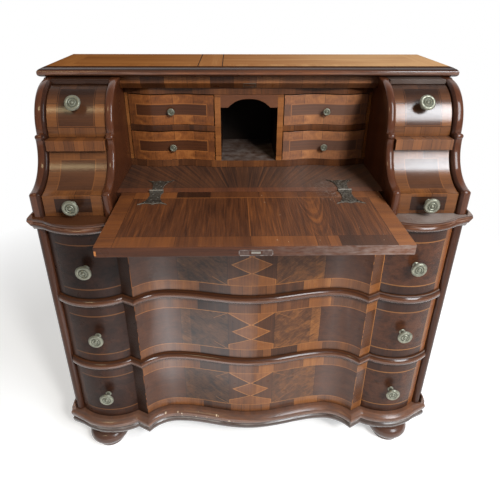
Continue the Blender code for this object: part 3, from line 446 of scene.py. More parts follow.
def front_plan(offset, end_x):
    """The serpentine line in plan from left to right, pushed out by an offset, ending at +-end_x."""
    bow = Vector((INNER_X - BOW_INSET, BOW_FRONT + BOW_RADIUS))
    notch_x = bow.x - NOTCH_INSET
    notch = Vector((notch_x, bow.y - math.sqrt(BOW_RADIUS ** 2 - NOTCH_INSET ** 2)))
    arris_x = notch_x - FACET_WIDTH
    trough_x = arris_x - HOLLOW_WIDTH
    hollow = Vector((trough_x, HOLLOW_DEPTH - HOLLOW_RADIUS))
    arris = Vector((arris_x, hollow.y + math.sqrt(HOLLOW_RADIUS ** 2 - HOLLOW_WIDTH ** 2)))

    along = (notch - arris).normalized()
    outwards = Vector((along.y, -along.x))
    facet = arris + outwards * offset
    arris = crossing(hollow, HOLLOW_RADIUS - offset, facet, along)[1]
    notch = crossing(bow, BOW_RADIUS + offset, facet, along)[0]

    swing = (HOLLOW_DEPTH - BELLY_FRONT) / 2
    points = []
    for i in range(BELLY_STEPS):
        phase = math.pi * i / BELLY_STEPS
        slope = swing * math.sin(phase) * math.pi / trough_x
        out = Vector((slope, -1.0)).normalized() * offset
        points.append((trough_x * i / BELLY_STEPS + out.x,
                       BELLY_FRONT + swing * (1 - math.cos(phase)) + out.y))
    arris_angle = math.degrees(math.atan2(arris.y - hollow.y, arris.x - hollow.x))
    points += arc(hollow, HOLLOW_RADIUS - offset, 90.0, arris_angle, HOLLOW_STEPS)
    notch_angle = math.degrees(math.atan2(notch.y - bow.y, notch.x - bow.x))
    end_angle = -math.degrees(math.acos((end_x - bow.x) / (BOW_RADIUS + offset)))
    points += arc(bow, BOW_RADIUS + offset, notch_angle, end_angle, BOW_STEPS)
    return [(x, FRONT + y) for x, y in mirrored(points)]


def lengths_along(points):
    """Length of a line up to each of its points."""
    steps = [math.dist(a, b) for a, b in zip(points, points[1:])]
    return np.concatenate(([0.0], np.cumsum(steps)))


FRONT_LINE = front_plan(0.0, INNER_X)
FRONT_X = np.array([x for x, _ in FRONT_LINE])
FRONT_U = lengths_along(FRONT_LINE)
FRONT_U = FRONT_U - FRONT_U[-1] / 2
END_U = float(FRONT_U[-1])


def along_front(x):
    """Distance along the serpentine from its middle to a place across the desk."""
    beyond = max(0.0, abs(x) - INNER_X)
    return float(np.interp(x, FRONT_X, FRONT_U)) + math.copysign(beyond, x)


ARRIS_U = along_front(INNER_X - BOW_INSET - NOTCH_INSET - FACET_WIDTH)
NOTCH_U = along_front(INNER_X - BOW_INSET - NOTCH_INSET)


def half_round(height, nose):
    """Levels and offsets of a half-round edge."""
    angles = [math.pi * (i / NOSE_STEPS - 0.5) for i in range(NOSE_STEPS + 1)]
    return [(height * (1 + math.sin(a)) / 2, nose * math.cos(a)) for a in angles]


def eased(low, high, ease):
    """Levels of a board with rounded edges, and how far its outline is drawn in at each."""
    turn = [(ease * (1 - math.sin(a)), ease * (1 - math.cos(a))) for a in (math.pi / 2, math.pi / 4, 0.0)]
    lower = [(low + rise, inset) for rise, inset in turn]
    return lower + [(high - rise, inset) for rise, inset in turn[::-1]]


def wing_profile():
    """The S-shaped front edge of a wing panel, (depth, height), from the waist to the top."""
    points = [(FRONT, WAIST_TOP + FIT)]
    knee = (FRONT + WING_KNEE, WAIST_TOP + WING_FACE - WING_KNEE)
    points += arc(knee, WING_KNEE, 180.0, 95.0, KNEE_STEPS)
    start = math.degrees(math.asin(WING_KNEE / WING_HOLLOW_RADIUS)) - 90.0
    points += arc((FRONT, WING_HOLLOW_Z), WING_HOLLOW_RADIUS, start, 0.0, WING_STEPS)
    back, up = WING_NIB_MIDDLE
    nib = (FRONT + WING_HOLLOW_RADIUS + WING_NIB * back, WING_HOLLOW_Z + WING_NIB * up)
    points += arc(nib, WING_NIB_RADIUS, 220.0, 50.0, NIB_STEPS)
    bulge = arc((WING_BULGE_Y, WING_BULGE_Z), WING_BULGE_RADIUS, 180.0, 90.0, WING_STEPS)
    return points + bulge[:-1] + [(bulge[-1][0], TOP_BOTTOM - FIT)]


def drawn_in(line, inset):
    """An upward (depth, height) line moved back along its normals; its ends keep their heights."""
    moved = []
    for i, (y, z) in enumerate(line):
        before, after = line[max(i - 1, 0)], line[min(i + 1, len(line) - 1)]
        along = Vector((after[0] - before[0], after[1] - before[1])).normalized()
        ends = i in (0, len(line) - 1)
        moved.append((y + inset, z) if ends else (y + along.y * inset, z - along.x * inset))
    return moved


def upper_wing_face():
    """Bulging face of the upper wing drawer, (y, z) from bottom to top."""
    radius = WING_BULGE_RADIUS - WING_DRAWER_RECESS
    low = SHELF_HIGH.z + RUNNING_GAP
    high = TOP_BOTTOM - WING_RAIL_HEIGHT - RUNNING_GAP
    start = 180.0 - math.degrees(math.asin((low - WING_BULGE_Z) / radius))
    end = 180.0 - math.degrees(math.asin((high - WING_BULGE_Z) / radius))
    return arc((WING_BULGE_Y, WING_BULGE_Z), radius, start, end, WING_STEPS)


def lower_wing_face():
    """Upright and hollow face of the lower wing drawer, (y, z) from bottom to top."""
    radius = WING_HOLLOW_RADIUS + WING_DRAWER_RECESS
    high = SHELF_LOW.z - RUNNING_GAP
    start = -math.degrees(math.acos(WING_DRAWER_RECESS / radius))
    end = math.degrees(math.asin((high - WING_HOLLOW_Z) / radius))
    curve = arc((FRONT, WING_HOLLOW_Z), radius, start, end, WING_STEPS)
    return [(FRONT + WING_DRAWER_RECESS, WAIST_TOP + RUNNING_GAP)] + curve


def interior_front(x):
    """Depth of the interior's front: straight at the niche, an ogee across each drawer bay."""
    across = max(0.0, (abs(x) - DIVIDER_X) / (INTERIOR_X - DIVIDER_X))
    wave = WAVE_DEPTH * (1 - math.cos(2 * math.pi * across / WAVE_LENGTH))
    return INTERIOR_FRONT + wave + WAVE_SWEEP * across ** 3


def bay_line(start, end):
    """The ogee front between two distances from the middle."""
    steps = [start + (end - start) * i / WAVE_STEPS for i in range(WAVE_STEPS + 1)]
    return [(x, interior_front(x)) for x in steps]


# Modelling

def deselect():
    if bpy.context.object and bpy.context.object.mode != "OBJECT":
        bpy.ops.object.mode_set(mode="OBJECT")
    bpy.ops.object.select_all(action="DESELECT")


def select_only(piece):
    deselect()
    piece.select_set(True)
    bpy.context.view_layer.objects.active = piece


def at_level(outline, z):
    return [(x, y, z) for x, y in outline]


def at_side(outline, x):
    return [(x, y, z) for y, z in outline]


def named_piece(name):
    """The piece just added, under its own name."""
    piece = bpy.context.object
    piece.name = name
    piece.data.name = name
    return piece


def lay_face(piece, ring):
    """Lays the one selected face of a piece in edit mode on a ring of points."""
    mesh = bmesh.from_edit_mesh(piece.data)
    face = next(f for f in mesh.faces if f.select)
    for corner, place in zip(face.verts, ring):
        corner.co = place
    bmesh.update_edit_mesh(piece.data)


def lofted(name, rings):
    """A closed body through like rings: a filled circle laid on the first, extruded to each of the rest."""
    deselect()
    bpy.ops.mesh.primitive_circle_add(vertices=len(rings[0]), radius=1.0, fill_type="NGON", calc_uvs=False)
    piece = named_piece(name)
    bpy.ops.object.mode_set(mode="EDIT")
    bpy.ops.mesh.select_mode(type="FACE")
    bpy.ops.mesh.select_all(action="SELECT")
    lay_face(piece, rings[0])
    for ring in rings[1:]:
        bpy.ops.mesh.extrude_region_move()
        lay_face(piece, ring)
    bpy.ops.mesh.select_all(action="SELECT")
    bpy.ops.mesh.remove_doubles(threshold=MERGE)
    bpy.ops.mesh.normals_make_consistent(inside=False)
    bpy.ops.object.mode_set(mode="OBJECT")
    return piece


def bevelled(piece, width, segments=2):
    select_only(piece)
    modifier = piece.modifiers.new("eased_edges", "BEVEL")
    modifier.width = width
    modifier.segments = segments
    modifier.limit_method = "ANGLE"
    modifier.angle_limit = math.radians(40.0)
    modifier.use_clamp_overlap = True
    bpy.ops.object.modifier_apply(modifier=modifier.name)
    return piece


def raw_block(name, low, high):
    deselect()
    low, high = Vector(low), Vector(high)
    bpy.ops.mesh.primitive_cube_add(size=1.0, location=(low + high) / 2, scale=high - low, calc_uvs=False)
    piece = named_piece(name)
    bpy.ops.object.transform_apply(location=True, rotation=True, scale=True)
    return piece


def board(name, low, high, ease=BOARD_EASE):
    """A board between two corners, its edges eased."""
    return bevelled(raw_block(name, low, high), ease)


def open_box(name, low, high, wall):
    """An open box: the top of a block inset by the wall and pushed down to the floor."""
    piece = raw_block(name, low, high)
    bpy.ops.object.mode_set(mode="EDIT")
    bpy.ops.mesh.select_mode(type="FACE")
    bpy.ops.mesh.select_all(action="DESELECT")
    mesh = bmesh.from_edit_mesh(piece.data)
    for face in mesh.faces:
        face.select_set(face.normal.z > SQUARE)
    bmesh.update_edit_mesh(piece.data)
    bpy.ops.mesh.inset(thickness=wall)
    sink = low[2] + wall - high[2]
    bpy.ops.mesh.extrude_region_move(TRANSFORM_OT_translate={"value": (0.0, 0.0, sink)})
    bpy.ops.object.mode_set(mode="OBJECT")
    return bevelled(piece, FINE_EASE)


def turned(name, profile, place):
    """A round piece: a profile of (radius, height), turned about the z of a place."""
    rings = []
    for radius, height in profile:
        circle = arc((0.0, 0.0), radius, 0.0, 360.0 - 360.0 / TURN_STEPS, TURN_STEPS - 1)
        rings.append([place @ Vector((x, y, height)) for x, y in circle])
    return lofted(name, rings)


def pointing(direction, position):
    """A place whose z axis points along a direction."""
    turn = Vector((0.0, 0.0, 1.0)).rotation_difference(Vector(direction))
    return Matrix.Translation(position) @ turn.to_matrix().to_4x4()


def joined(pieces):
    """Several bodies as one piece, named after the first."""
    deselect()
    for piece in pieces:
        piece.select_set(True)
    bpy.context.view_layer.objects.active = pieces[0]
    bpy.ops.object.join()
    return pieces[0]


def unwrap(piece, where):
    """Gives a piece its veneer coordinates, in metres, from each corner's place."""
    layer = piece.data.uv_layers.new(name=UV_LAYER)
    for loop in piece.data.loops:
        layer.data[loop.index].uv = where(piece.data.vertices[loop.vertex_index].co)


def paint(piece, index, test):
    """Gives the faces that pass a test of middle and normal another of the piece's materials."""
    for face in piece.data.polygons:
        if test(face.center, face.normal):
            face.material_index = index


def is_level(middle, normal):
    return abs(normal.z) > FLAT


def place_piece(piece, node, materials, stands_for=True, angle=32.0):
    """Smooths and finishes a piece and hangs it on the body of its CAD node."""
    select_only(piece)
    bpy.ops.object.shade_smooth_by_angle(angle=math.radians(angle))
    modifier = piece.modifiers.new("square_faces", "WEIGHTED_NORMAL")
    modifier.keep_sharp = True
    bpy.ops.object.modifier_apply(modifier=modifier.name)
    for material in materials:
        piece.data.materials.append(finish_named(material))
    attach(piece, frame["nodes"][node]["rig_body"])
    if stands_for:
        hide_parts(node)
    return piece


# Shading

class Value:
    """A number on a surface; arithmetic on it adds Math nodes."""

    def __init__(self, graph, socket):
        self.graph = graph
        self.socket = socket

    def __add__(self, other):
        return self.graph.math("ADD", self, other)

    __radd__ = __add__

    def __sub__(self, other):
        return self.graph.math("SUBTRACT", self, other)

    def __rsub__(self, other):
        return self.graph.math("SUBTRACT", other, self)

    def __mul__(self, other):
        return self.graph.math("MULTIPLY", self, other)

    __rmul__ = __mul__

    def __truediv__(self, other):
        return self.graph.math("DIVIDE", self, other)

    def __lt__(self, other):
        return self.graph.math("LESS_THAN", self, other)

    def __gt__(self, other):
        return self.graph.math("GREATER_THAN", self, other)

    def __abs__(self):
        return self.graph.math("ABSOLUTE", self)

    def floor(self):
        return self.graph.math("FLOOR", self)

    def above(self, other):
        return self.graph.math("MAXIMUM", self, other)

    def below(self, other):
        return self.graph.math("MINIMUM", self, other)

    def clamped(self):
        return self.above(0.0).below(1.0)

    def rising(self, start, slope):
        """0 up to a start, then rising at a slope to 1."""
        return ((self - start) * slope).clamped()

    def peak(self, place, reach):
        """1 at a place, falling to 0 at a reach on either side."""
        return (1.0 - abs(self - place) / reach).clamped()

    def near(self, place, reach):
        """1 within a reach of a place, else 0."""
        return self.graph.math("COMPARE", self, place, reach)

    def between(self, low, high):
        return (self > low) * (self < high)

    def choose(self, inside, outside):
        """One number where this mask is 1, another where it is 0."""
        return outside + self * (inside - outside)


class Graph:
    """The node tree of one material, or of the world."""

    def __init__(self, name, tree=None):
        if tree is None:
            self.material = bpy.data.materials.new(name)
            self.material.use_nodes = True
            tree = self.material.node_tree
        self.tree = tree
        self.tree.nodes.clear()
        self.sizes = bpy.context.scene.desk_veneer
        self.metal = bpy.context.scene.desk_metal

    def node(self, kind, settings=None, sockets=None):
        made = self.tree.nodes.new(kind)
        for key, value in (settings or {}).items():
            if key == "stops":
                ramp = made.color_ramp
                while len(ramp.elements) < len(value):
                    ramp.elements.new(0.5)
                for element, (position, colour) in zip(ramp.elements, value):
                    element.position = position
                    element.color = (*colour, 1.0)
            else:
                setattr(made, key, value)
        for key, value in (sockets or {}).items():
            if isinstance(value, Value):
                self.tree.links.new(value.socket, made.inputs[key])
            else:
                made.inputs[key].default_value = value
        return made

    def math(self, operation, *values):
        made = self.node("ShaderNodeMath", {"operation": operation}, dict(enumerate(values)))
        return Value(self, made.outputs[0])

    def vector(self, x, y, z):
        return Value(self, self.node("ShaderNodeCombineXYZ", None, {0: x, 1: y, 2: z}).outputs[0])

    def surface(self):
        """The piece's veneer coordinates, in metres."""
        made = self.node("ShaderNodeUVMap", {"uv_map": UV_LAYER})
        parts = self.node("ShaderNodeSeparateXYZ", None, {0: Value(self, made.outputs[0])})
        return Value(self, parts.outputs[0]), Value(self, parts.outputs[1])

    def space(self):
        """Place on the piece, in metres; in the world, the direction."""
        made = self.node("ShaderNodeTexCoord")
        parts = self.node("ShaderNodeSeparateXYZ", None, {0: Value(self, made.outputs["Object"])})
        return [Value(self, output) for output in parts.outputs]

    def rays(self):
        """1 for rays from the camera, and 1 for rays mirrored or let through by a surface."""
        made = self.node("ShaderNodeLightPath")
        seen, mirrored_ray, through = [Value(self, made.outputs["Is " + kind + " Ray"])
                                       for kind in ("Camera", "Glossy", "Transmission")]
        return seen, mirrored_ray.above(through)

    def noise(self, place, detail=3.0, distortion=0.0):
        """Soft noise, 0 to 1, at a place of three numbers."""
        made = self.node("ShaderNodeTexNoise", None, {"Vector": self.vector(*place), "Scale": 1.0,
                                                      "Detail": detail, "Distortion": distortion})
        return Value(self, made.outputs[0])

    def mottled(self, scale, detail):
        """Noise of one scale in all directions."""
        return self.noise([part * scale for part in self.space()], detail)

    def spots(self, place):
        """Distance to the nearest of scattered points."""
        made = self.node("ShaderNodeTexVoronoi", None, {"Vector": self.vector(*place), "Scale": 1.0})
        return Value(self, made.outputs["Distance"])

    def chance(self, number):
        """A fixed random number from 0 to 1 for each whole number."""
        made = self.node("ShaderNodeTexWhiteNoise", {"noise_dimensions": "1D"}, {"W": number})
        return Value(self, made.outputs["Value"])

    def pointiness(self):
        """Above a half on edges, below it in grooves."""
        return Value(self, self.node("ShaderNodeNewGeometry").outputs["Pointiness"])

    def ramp(self, factor, stops):
        made = self.node("ShaderNodeValToRGB", {"stops": stops}, {0: factor})
        return Value(self, made.outputs["Color"])

    def mix(self, factor, first, second, blend="MIX"):
        made = self.node("ShaderNodeMix", {"data_type": "RGBA", "blend_type": blend},
                         {0: factor, 6: as_colour(first), 7: as_colour(second)})
        return Value(self, made.outputs[2])

    def mixed_shaders(self, factor, first, second):
        return self.node("ShaderNodeMixShader", None,
                         {0: factor, 1: Value(self, first.outputs[0]), 2: Value(self, second.outputs[0])})

    def steps(self, place, first, changes):
        """A number that changes at each of a row of joints, and a mask of those joints."""
        tone = place * 0.0 + first
        joints = place * 0.0
        for joint, beyond in changes:
            tone = (place > joint).choose(beyond, tone)
            joints = joints.above(place.near(joint, self.sizes.joint / 2))
        return tone, joints

    def segments(self, place, length, seed):
        """Random tone of each of a row of like segments, and a mask of the joints between them."""
        cell = place / length + seed
        inside = cell - cell.floor()
        joint = abs(inside - 0.5) > 0.5 - self.sizes.joint / length / 2
        return self.chance(cell.floor()), joint

    def shaded(self, shader):
        self.node("ShaderNodeOutputMaterial", None, {"Surface": Value(self, shader.outputs[0])})
        return self.material

    def finished(self, sockets, relief=None):
        """The material, from the shader's sockets and a relief of strength, depth and height."""
        if relief is not None:
            made = self.node("ShaderNodeBump", None, dict(zip(("Strength", "Distance", "Height"), relief)))
            sockets = {**sockets, "Normal": Value(self, made.outputs[0])}
        return self.shaded(self.node("ShaderNodeBsdfPrincipled", None, sockets))


def as_colour(value):
    return value if isinstance(value, Value) else (*value, 1.0)


def walnut_stops():
    colours = bpy.context.scene.desk_veneer
    names = ("black", "dark", "brown", "orange", "light", "pale")
    return [(i / (len(names) - 1), tuple(getattr(colours, name))) for i, name in enumerate(names)]


def grained(graph, along, across, seed, broad_size=24.0):
    """Walnut grain about zero, and a mask of its pores."""
    broad = graph.noise((along * 3.0, across * broad_size, seed), 3.0, 0.7)
    streak = graph.noise((along * 8.0, across * 240.0, seed + 3.0), 3.0)
    pores = graph.noise((along * 70.0, across * 1300.0, seed + 7.0), 1.0)
    return (broad - 0.5) * 0.85 + (streak - 0.5) * 0.45, pores < 0.41


def burl(graph, across, up, seed):
    """Swirling figure about zero."""
    swirl = graph.noise((across * 16.0, up * 22.0, seed), 4.0, 1.6)
    speckle = graph.noise((across * 120.0, up * 150.0, seed + 5.0), 3.0, 0.8)
    return (swirl - 0.5) * 1.0 + (speckle - 0.5) * 0.5


def polished(graph, tone, red, pores, dust=None, olive=None, cream=None, coat=0.22, specular=0.12,
             rough=0.30, coat_rough=0.08, coat_bend=1.5):
    """French-polished walnut of a tone from 0, black, to 1, pale.

    Red warms it, olive greys it, a grey lies on it as dirt, and in places as painted sheen and painted
    highlights, and where cream is 1 it is chipped to its pale core."""
    colour = graph.ramp(tone - pores * 0.035, walnut_stops())
    colour = graph.mix(red, colour, graph.mix(1.0, colour, (1.26, 0.84, 0.76), "MULTIPLY"))
    if olive is not None:
        colour = graph.mix(olive, colour, graph.mix(1.0, colour, (0.86, 1.10, 1.16), "MULTIPLY"))
    if cream is not None:
        colour = graph.mix(cream, colour, CHIPPED)
    if dust is not None:
        colour = graph.mix(dust, colour, DUST_AND_SHEEN)
    smear = graph.mottled(22.0, 3.0)
    roughness = rough + (smear - 0.5) * 0.16 + pores * 0.06
    return graph.finished({"Base Color": colour, "Roughness": roughness, "Specular IOR Level": specular,
                           "Coat Weight": coat, "Coat Roughness": coat_rough, "Coat IOR": coat_bend},
                          (0.22, 0.0005, 1.0 - pores + smear * 0.8))


# Veneers

# Crossband joints of a long drawer, from left to right: distance from the middle, tone beyond it
TOP_BAND = ((-0.150, 0.22), (-0.065, 0.44), (0.021, 0.58), (0.067, 0.46), (0.156, 0.63), (0.220, 0.48))
LOW_BAND = ((-0.142, 0.27), (-0.059, 0.45), (-0.026, 0.50), (0.0, 0.45), (0.036, 0.52), (0.061, 0.30),
            (0.138, 0.63), (0.214, 0.48))
# The same for the fall's front border and hinge strip
FALL_FRONT_BAND = ((-0.17, 0.46), (-0.01, 0.53), (0.13, 0.42), (0.155, 0.55), (0.18, 0.32), (0.33, 0.57))
FALL_HINGE_BAND = ((-0.19, 0.22), (-0.105, 0.40), (0.02, 0.46), (0.12, 0.40), (0.22, 0.50))
FALL_SIDE_BORDER = 0.038
FALL_FRONT_BORDER = 0.045
FALL_STRIP = 0.038


def lozenges(side, height):
    """How far inside the strip's lozenges a place lies, above 0 inside; side and height run 0 to 1."""
    middle = 0.80 - abs(height - 0.50) * 3.85
    upper = 0.03 + (height - 0.70) * 3.23
    lower = (0.03 + (0.30 - height) * 5.60).below(1.0)
    return middle.above(upper).above(lower) - side


def front_veneer():
    """Marquetry of the long drawer fronts: lozenge strip, fields, crossbands, facets and bows, with painted
    shade on the left facets and bows and along each drawer's edges.
    """
    graph = Graph("serpentine_front_veneer")
    sizes = graph.sizes
    u, z = graph.surface()
    row = ((z - BASE_TOP) / DRAWER_PITCH).floor()
    v = z - BASE_TOP - row * DRAWER_PITCH - RUNNING_GAP
    away = abs(u)
    right = u > 0.0
    top = DRAWER_OPENING - 2 * RUNNING_GAP - sizes.band_top
    low = sizes.band_low
    level_grain, pores = grained(graph, u, z, 1.0)
    upright_grain = grained(graph, z, u, 4.0)[0]
    figure = burl(graph, u, z, row * 3.0)

    shift = (graph.chance(row + 11.0) - 0.5) * 0.008
    top_tone, top_joints = graph.steps(u + shift, 0.45, TOP_BAND)
    low_tone, low_joints = graph.steps(u - shift, 0.50, LOW_BAND)
    upper = v > top
    band = upper + (v < low)
    band_tone = upper.choose(top_tone, low_tone) + (graph.chance(row + 17.0) - 0.5) * 0.06
    joints = band * upper.choose(top_joints, low_joints)

    height = (v - low) / (top - low)
    inside = lozenges(away / sizes.strip, height)
    strip = away < sizes.strip
    warm_half = u > 0.017
    strip_tone = (inside > 0.0).choose(0.50 + warm_half * 0.08, 0.28 + warm_half * 0.06)
    strip_tone = strip_tone + upright_grain * 0.40 + figure * 0.14
    strip_tone = inside.near(0.0, 0.045).choose(0.72 + upright_grain * 0.3, strip_tone)

    inner = away < 0.197
    slant = graph.noise((away * 60.0 - z * 45.0, away * 6.0 + z * 7.0, row + 2.0), 3.0, 0.6)
    scratch = graph.noise((away * 150.0 - z * 260.0, away * 26.0 + z * 15.0, row + 5.0), 3.0, 0.4)
    field_tone = right.choose(0.43, 0.29) + figure * 0.50
    field_tone = field_tone + (slant - 0.5) * 0.30 + (scratch - 0.5) * 0.34
    hollow_tone = right.choose(0.32, 0.31) + level_grain * 0.26 + figure * 0.22
    end_strip = away.between(0.170, 0.197) * (0.04 + row.near(1.0, 0.5) * 0.08)
    field_tone = inner.choose(field_tone + end_strip, hollow_tone)
    joints = joints.above(away.near(0.197, sizes.joint / 2) * (1.0 - band))
    joints = joints.above(away.near(sizes.strip, sizes.joint / 2) * (1.0 - band))
    beyond = away - sizes.strip
    rise = (v - low).below(top - v)
    corner_line = (rise - beyond * 0.55).near(0.0, 0.0011) * beyond.between(0.0, 0.040)
    field_tone = corner_line.choose(0.58, field_tone)
    main = strip.choose(strip_tone, field_tone)
    main = band.choose(band_tone + upright_grain * 0.46 + figure * 0.10, main)
    lines = v.near(top, sizes.line / 2).above(v.near(low, sizes.line / 2))
    main = lines.choose(0.68 + upright_grain * 0.3, main)

    worn = graph.noise((u * 20.0, z * 55.0, 3.0), 4.0) > 0.47
    facet_band, facet_joints = graph.steps(v, 0.58, ((low, 0.38), (top, 0.58)))
    # Painted shade: the left facets, which face away from the lamps, are made near-black.
    facet = right.choose(facet_band, 0.16) + level_grain * 0.30
    pale_lines = (away.near(NOTCH_U - 0.0012, 0.0013) * right).above(away.near(ARRIS_U, 0.0010) * worn)
    facet_line = right.choose(0.76, 0.60)
    is_facet = away.between(ARRIS_U - 0.001, NOTCH_U)
    joints = is_facet.choose(facet_joints * right, joints * (away < ARRIS_U))

    edge = END_U - 0.024
    rim = v.between(low - 0.004, top + 0.004)
    bow = 0.19 + right * 0.10 + figure * 0.40 + level_grain * 0.12
    bow = rim.choose(bow, 0.24 + upright_grain * 0.24)
    bow = (away > edge).choose(right.choose(0.54, 0.29) + level_grain * 0.26, bow)
    line = sizes.line * 0.75
    bow_line = v.near(low - 0.002, line).above(v.near(top + 0.002, line)) * (away < edge)
    bow_line = bow_line.above(away.near(edge, line) * rim * right)
    bow = bow_line.choose(right.choose(0.64, 0.54) + level_grain * 0.3, bow)
    # Painted shade: the left bows are darkened, the top drawer's the most.
    bow = bow - (1.0 - right) * (0.02 + (row > 1.5) * 0.08)
    is_bow = away > NOTCH_U

    tone = is_bow.choose(bow, is_facet.choose(pale_lines.choose(facet_line, facet), main))
    tone = joints.choose(0.06, tone)
    # Painted shade: darker within 6 mm of a drawer's lower edge and 10 mm of its upper edge, below the
    # noses.
    from_top = DRAWER_OPENING - 2 * RUNNING_GAP - v
    tone = tone - (1.0 - v / 0.006).clamped().above((1.0 - from_top / 0.010).clamped()) * 0.16
    plain = (1.0 - band) * (1.0 - strip) * (away < ARRIS_U)
    red = is_bow.choose(0.45 * (1.0 - bow_line), 0.25) + plain * (1.0 - inner) * 0.2
    olive = plain * inner * right.choose(0.25, 0.45)
    patchiness = graph.noise((u * 5.0, z * 6.0, 9.0), 2.0) - 0.5
    hollow = away.peak(0.235, 0.05)
    belly = warm_half.choose(0.15 + (row < 0.5) * 0.40, 0.42)
    shine = (belly + hollow * 0.6) * (1.0 - is_facet * (1.0 - right))
    coat = is_bow.choose(0.04 + right * 0.16, shine) + patchiness * (0.24 - is_bow * 0.12)
    return polished(graph, tone, red, pores, olive=olive, coat=coat.clamped(), coat_rough=0.20)


def drawer_edges(v, low, high):
    return (v < low).above(v > high)


def window_lit(graph, tone, pores, coat):
    """Glossy wing drawers, which keep all of their polish on the right and less on the left."""
    kept = 0.45 + (graph.space()[0] > 0.0) * 0.55
    return polished(graph, tone, 0.20, pores, coat=coat * kept, specular=0.14, rough=0.22, coat_rough=0.25,
                    coat_bend=1.75)


def wing_upper_veneer():
    """Crossbanded frame round a dark field on the bulging wing drawers, darker over the bulge's upper half
    as painted shade.
    """
    graph = Graph("wing_upper_veneer")
    sizes = graph.sizes
    u, v = graph.surface()
    across, pores = grained(graph, u, v, 2.0)
    upright = grained(graph, v, u, 9.0)[0]
    length = float(lengths_along(upper_wing_face())[-1])
    half = (INNER_X - WING_X) / 2 - RUNNING_GAP
    side = abs(u) > half - 0.026
    ends = drawer_edges(v, 0.024, length - 0.020)
    end_tone, joints = graph.steps(u, 0.50, ((-0.004, 0.44),))
    side_tone, side_joints = graph.steps(v, 0.48, ((0.024, 0.54), (length * 0.55, 0.46)))
    tone = 0.33 + across * 0.26
    tone = ends.choose(end_tone + upright * 0.36, tone)
    tone = side.choose(side_tone + across * 0.36, tone)
    light_edge = abs(u).near(half - 0.028, sizes.line / 3) * v.between(0.024, length - 0.020)
    tone = light_edge.above(v.near(0.026, sizes.line / 3) * (1.0 - side)).choose(0.50, tone)
    inner_edge = abs(u).near(half - 0.026, sizes.joint / 2).above(v.near(0.024, sizes.joint / 2))
    marks = (joints * ends * (1.0 - side)).above(side_joints * side).above(inner_edge)
    tone = marks.choose(0.14, tone)
    # Painted shade: darker over the upper half of the bulge.
    tone = tone - ((v / length - 0.50) * 0.54).clamped()
    polish = v.peak(length * 0.42, length * 0.40)
    return window_lit(graph, tone, pores, 0.08 + polish * 0.92)


def wing_lower_veneer():
    """Two framed fields on the wing drawers below: one upright, one in the hollow, with a painted highlight
    along the knee between them.
    """
    graph = Graph("wing_lower_veneer")
    sizes = graph.sizes
    u, v = graph.surface()
    across, pores = grained(graph, u, v, 5.0)
    upright = grained(graph, v, u, 12.0)[0]
    length = float(lengths_along(lower_wing_face())[-1])
    bend = WING_FACE - RUNNING_GAP - 0.009
    half = (INNER_X - WING_X) / 2 - RUNNING_GAP
    side = abs(u) > half - 0.028
    hollow = v > bend
    ends = drawer_edges(v, 0.009, length - 0.024).above(v.between(bend - 0.008, bend + 0.022))
    end_tone, joints = graph.steps(u, 0.48, ((0.006, 0.43),))
    side_tone, side_joints = graph.steps(v, 0.52, ((bend, 0.48), (length * 0.72, 0.45)))
    tone = hollow.choose(0.36, 0.24) + across * 0.30
    tone = ends.choose(end_tone + upright * 0.40, tone)
    tone = side.choose(side_tone + across * 0.40, tone)
    inner_side = abs(u).near(half - 0.029, sizes.line / 2)
    inner_end = v.near(bend + 0.0215, sizes.line / 2).above(v.near(length - 0.0235, sizes.line / 2))
    inner_end = inner_end * (abs(u) < half - 0.028)
    field_line = (inner_side * v.between(bend + 0.0215, length - 0.0235)).above(inner_end)
    tone = field_line.choose(0.54, tone)
    # Painted highlight: a pale line along the knee.
    tone = v.near(bend, 0.0011).choose(0.60, tone)
    tone = (joints * ends * (1.0 - side)).above(side_joints * side).choose(0.14, tone)
    polish = v.peak(length * 0.74, length * 0.36)
    return window_lit(graph, tone, pores, 0.10 + polish * 0.90)


def crossbanded(name, length, seed, low=0.16, high=0.66, painted_sheen=0.0):
    """Short crossbanded segments of chance tones along the veneer's u, with a painted sheen of grey on the
    right half.
    """
    graph = Graph(name)
    u, v = graph.surface()
    chance, joints = graph.segments(u, length, seed)
    upright, pores = grained(graph, v, u, seed)
    tone = low + chance * (high - low) + upright * 0.44
    tone = joints.choose(0.10, tone)
    # Painted sheen: grey laid on over the right half.
    return polished(graph, tone, 0.3, pores, (u > 0.0) * painted_sheen, coat=0.15)


def interior_veneer():
    """Interior drawers: crossbands above and below, stringing, and a dark field; lighter and greyer on the
    right, as painted light and a painted sheen.
    """
    graph = Graph("interior_drawer_veneer")
    sizes = graph.sizes
    u, v = graph.surface()
    upright, pores = grained(graph, v, u, 14.0)
    level = grained(graph, u, v, 16.0)[0]
    chance, joints = graph.segments(u, 0.058, 3.3)
    band = drawer_edges(v, 0.31, 0.69)
    middle, reach = (DIVIDER_X + BAY_END_X) / 2, (BAY_END_X - DIVIDER_X) / 2
    end = abs(u - middle) > reach - 0.022
    right = graph.space()[0] > 0.0
    # Painted light and a painted sheen: the right-hand drawers are made lighter and greyer.
    painted_light = right * 0.08
    painted_sheen = right * 0.10
    tone = band.choose(0.43 + chance * 0.21 + upright * 0.66, 0.32 + level * 0.34) + painted_light
    tone = (end * (1.0 - band)).choose(0.46 + upright * 0.44, tone)
    lines = v.near(0.31, 0.017).above(v.near(0.69, 0.017)) * (1.0 - end)
    lines = lines.above(abs(u - middle).near(reach - 0.022, sizes.line / 2) * (1.0 - band))
    tone = lines.choose(0.68, tone)
    tone = (joints * band).choose(0.22, tone)
    return polished(graph, tone, 0.45, pores, painted_sheen, coat=0.15)


def plain_walnut(name, tone, red, along, seed, figure=0.30, **gloss):
    """Plain walnut with its grain along one axis of the piece's space."""
    graph = Graph(name)
    places = graph.space()
    run = places.pop(along)
    graining, pores = grained(graph, run, places[0] + places[1] * 0.6, seed)
    return polished(graph, tone + graining * figure, red, pores, **gloss)


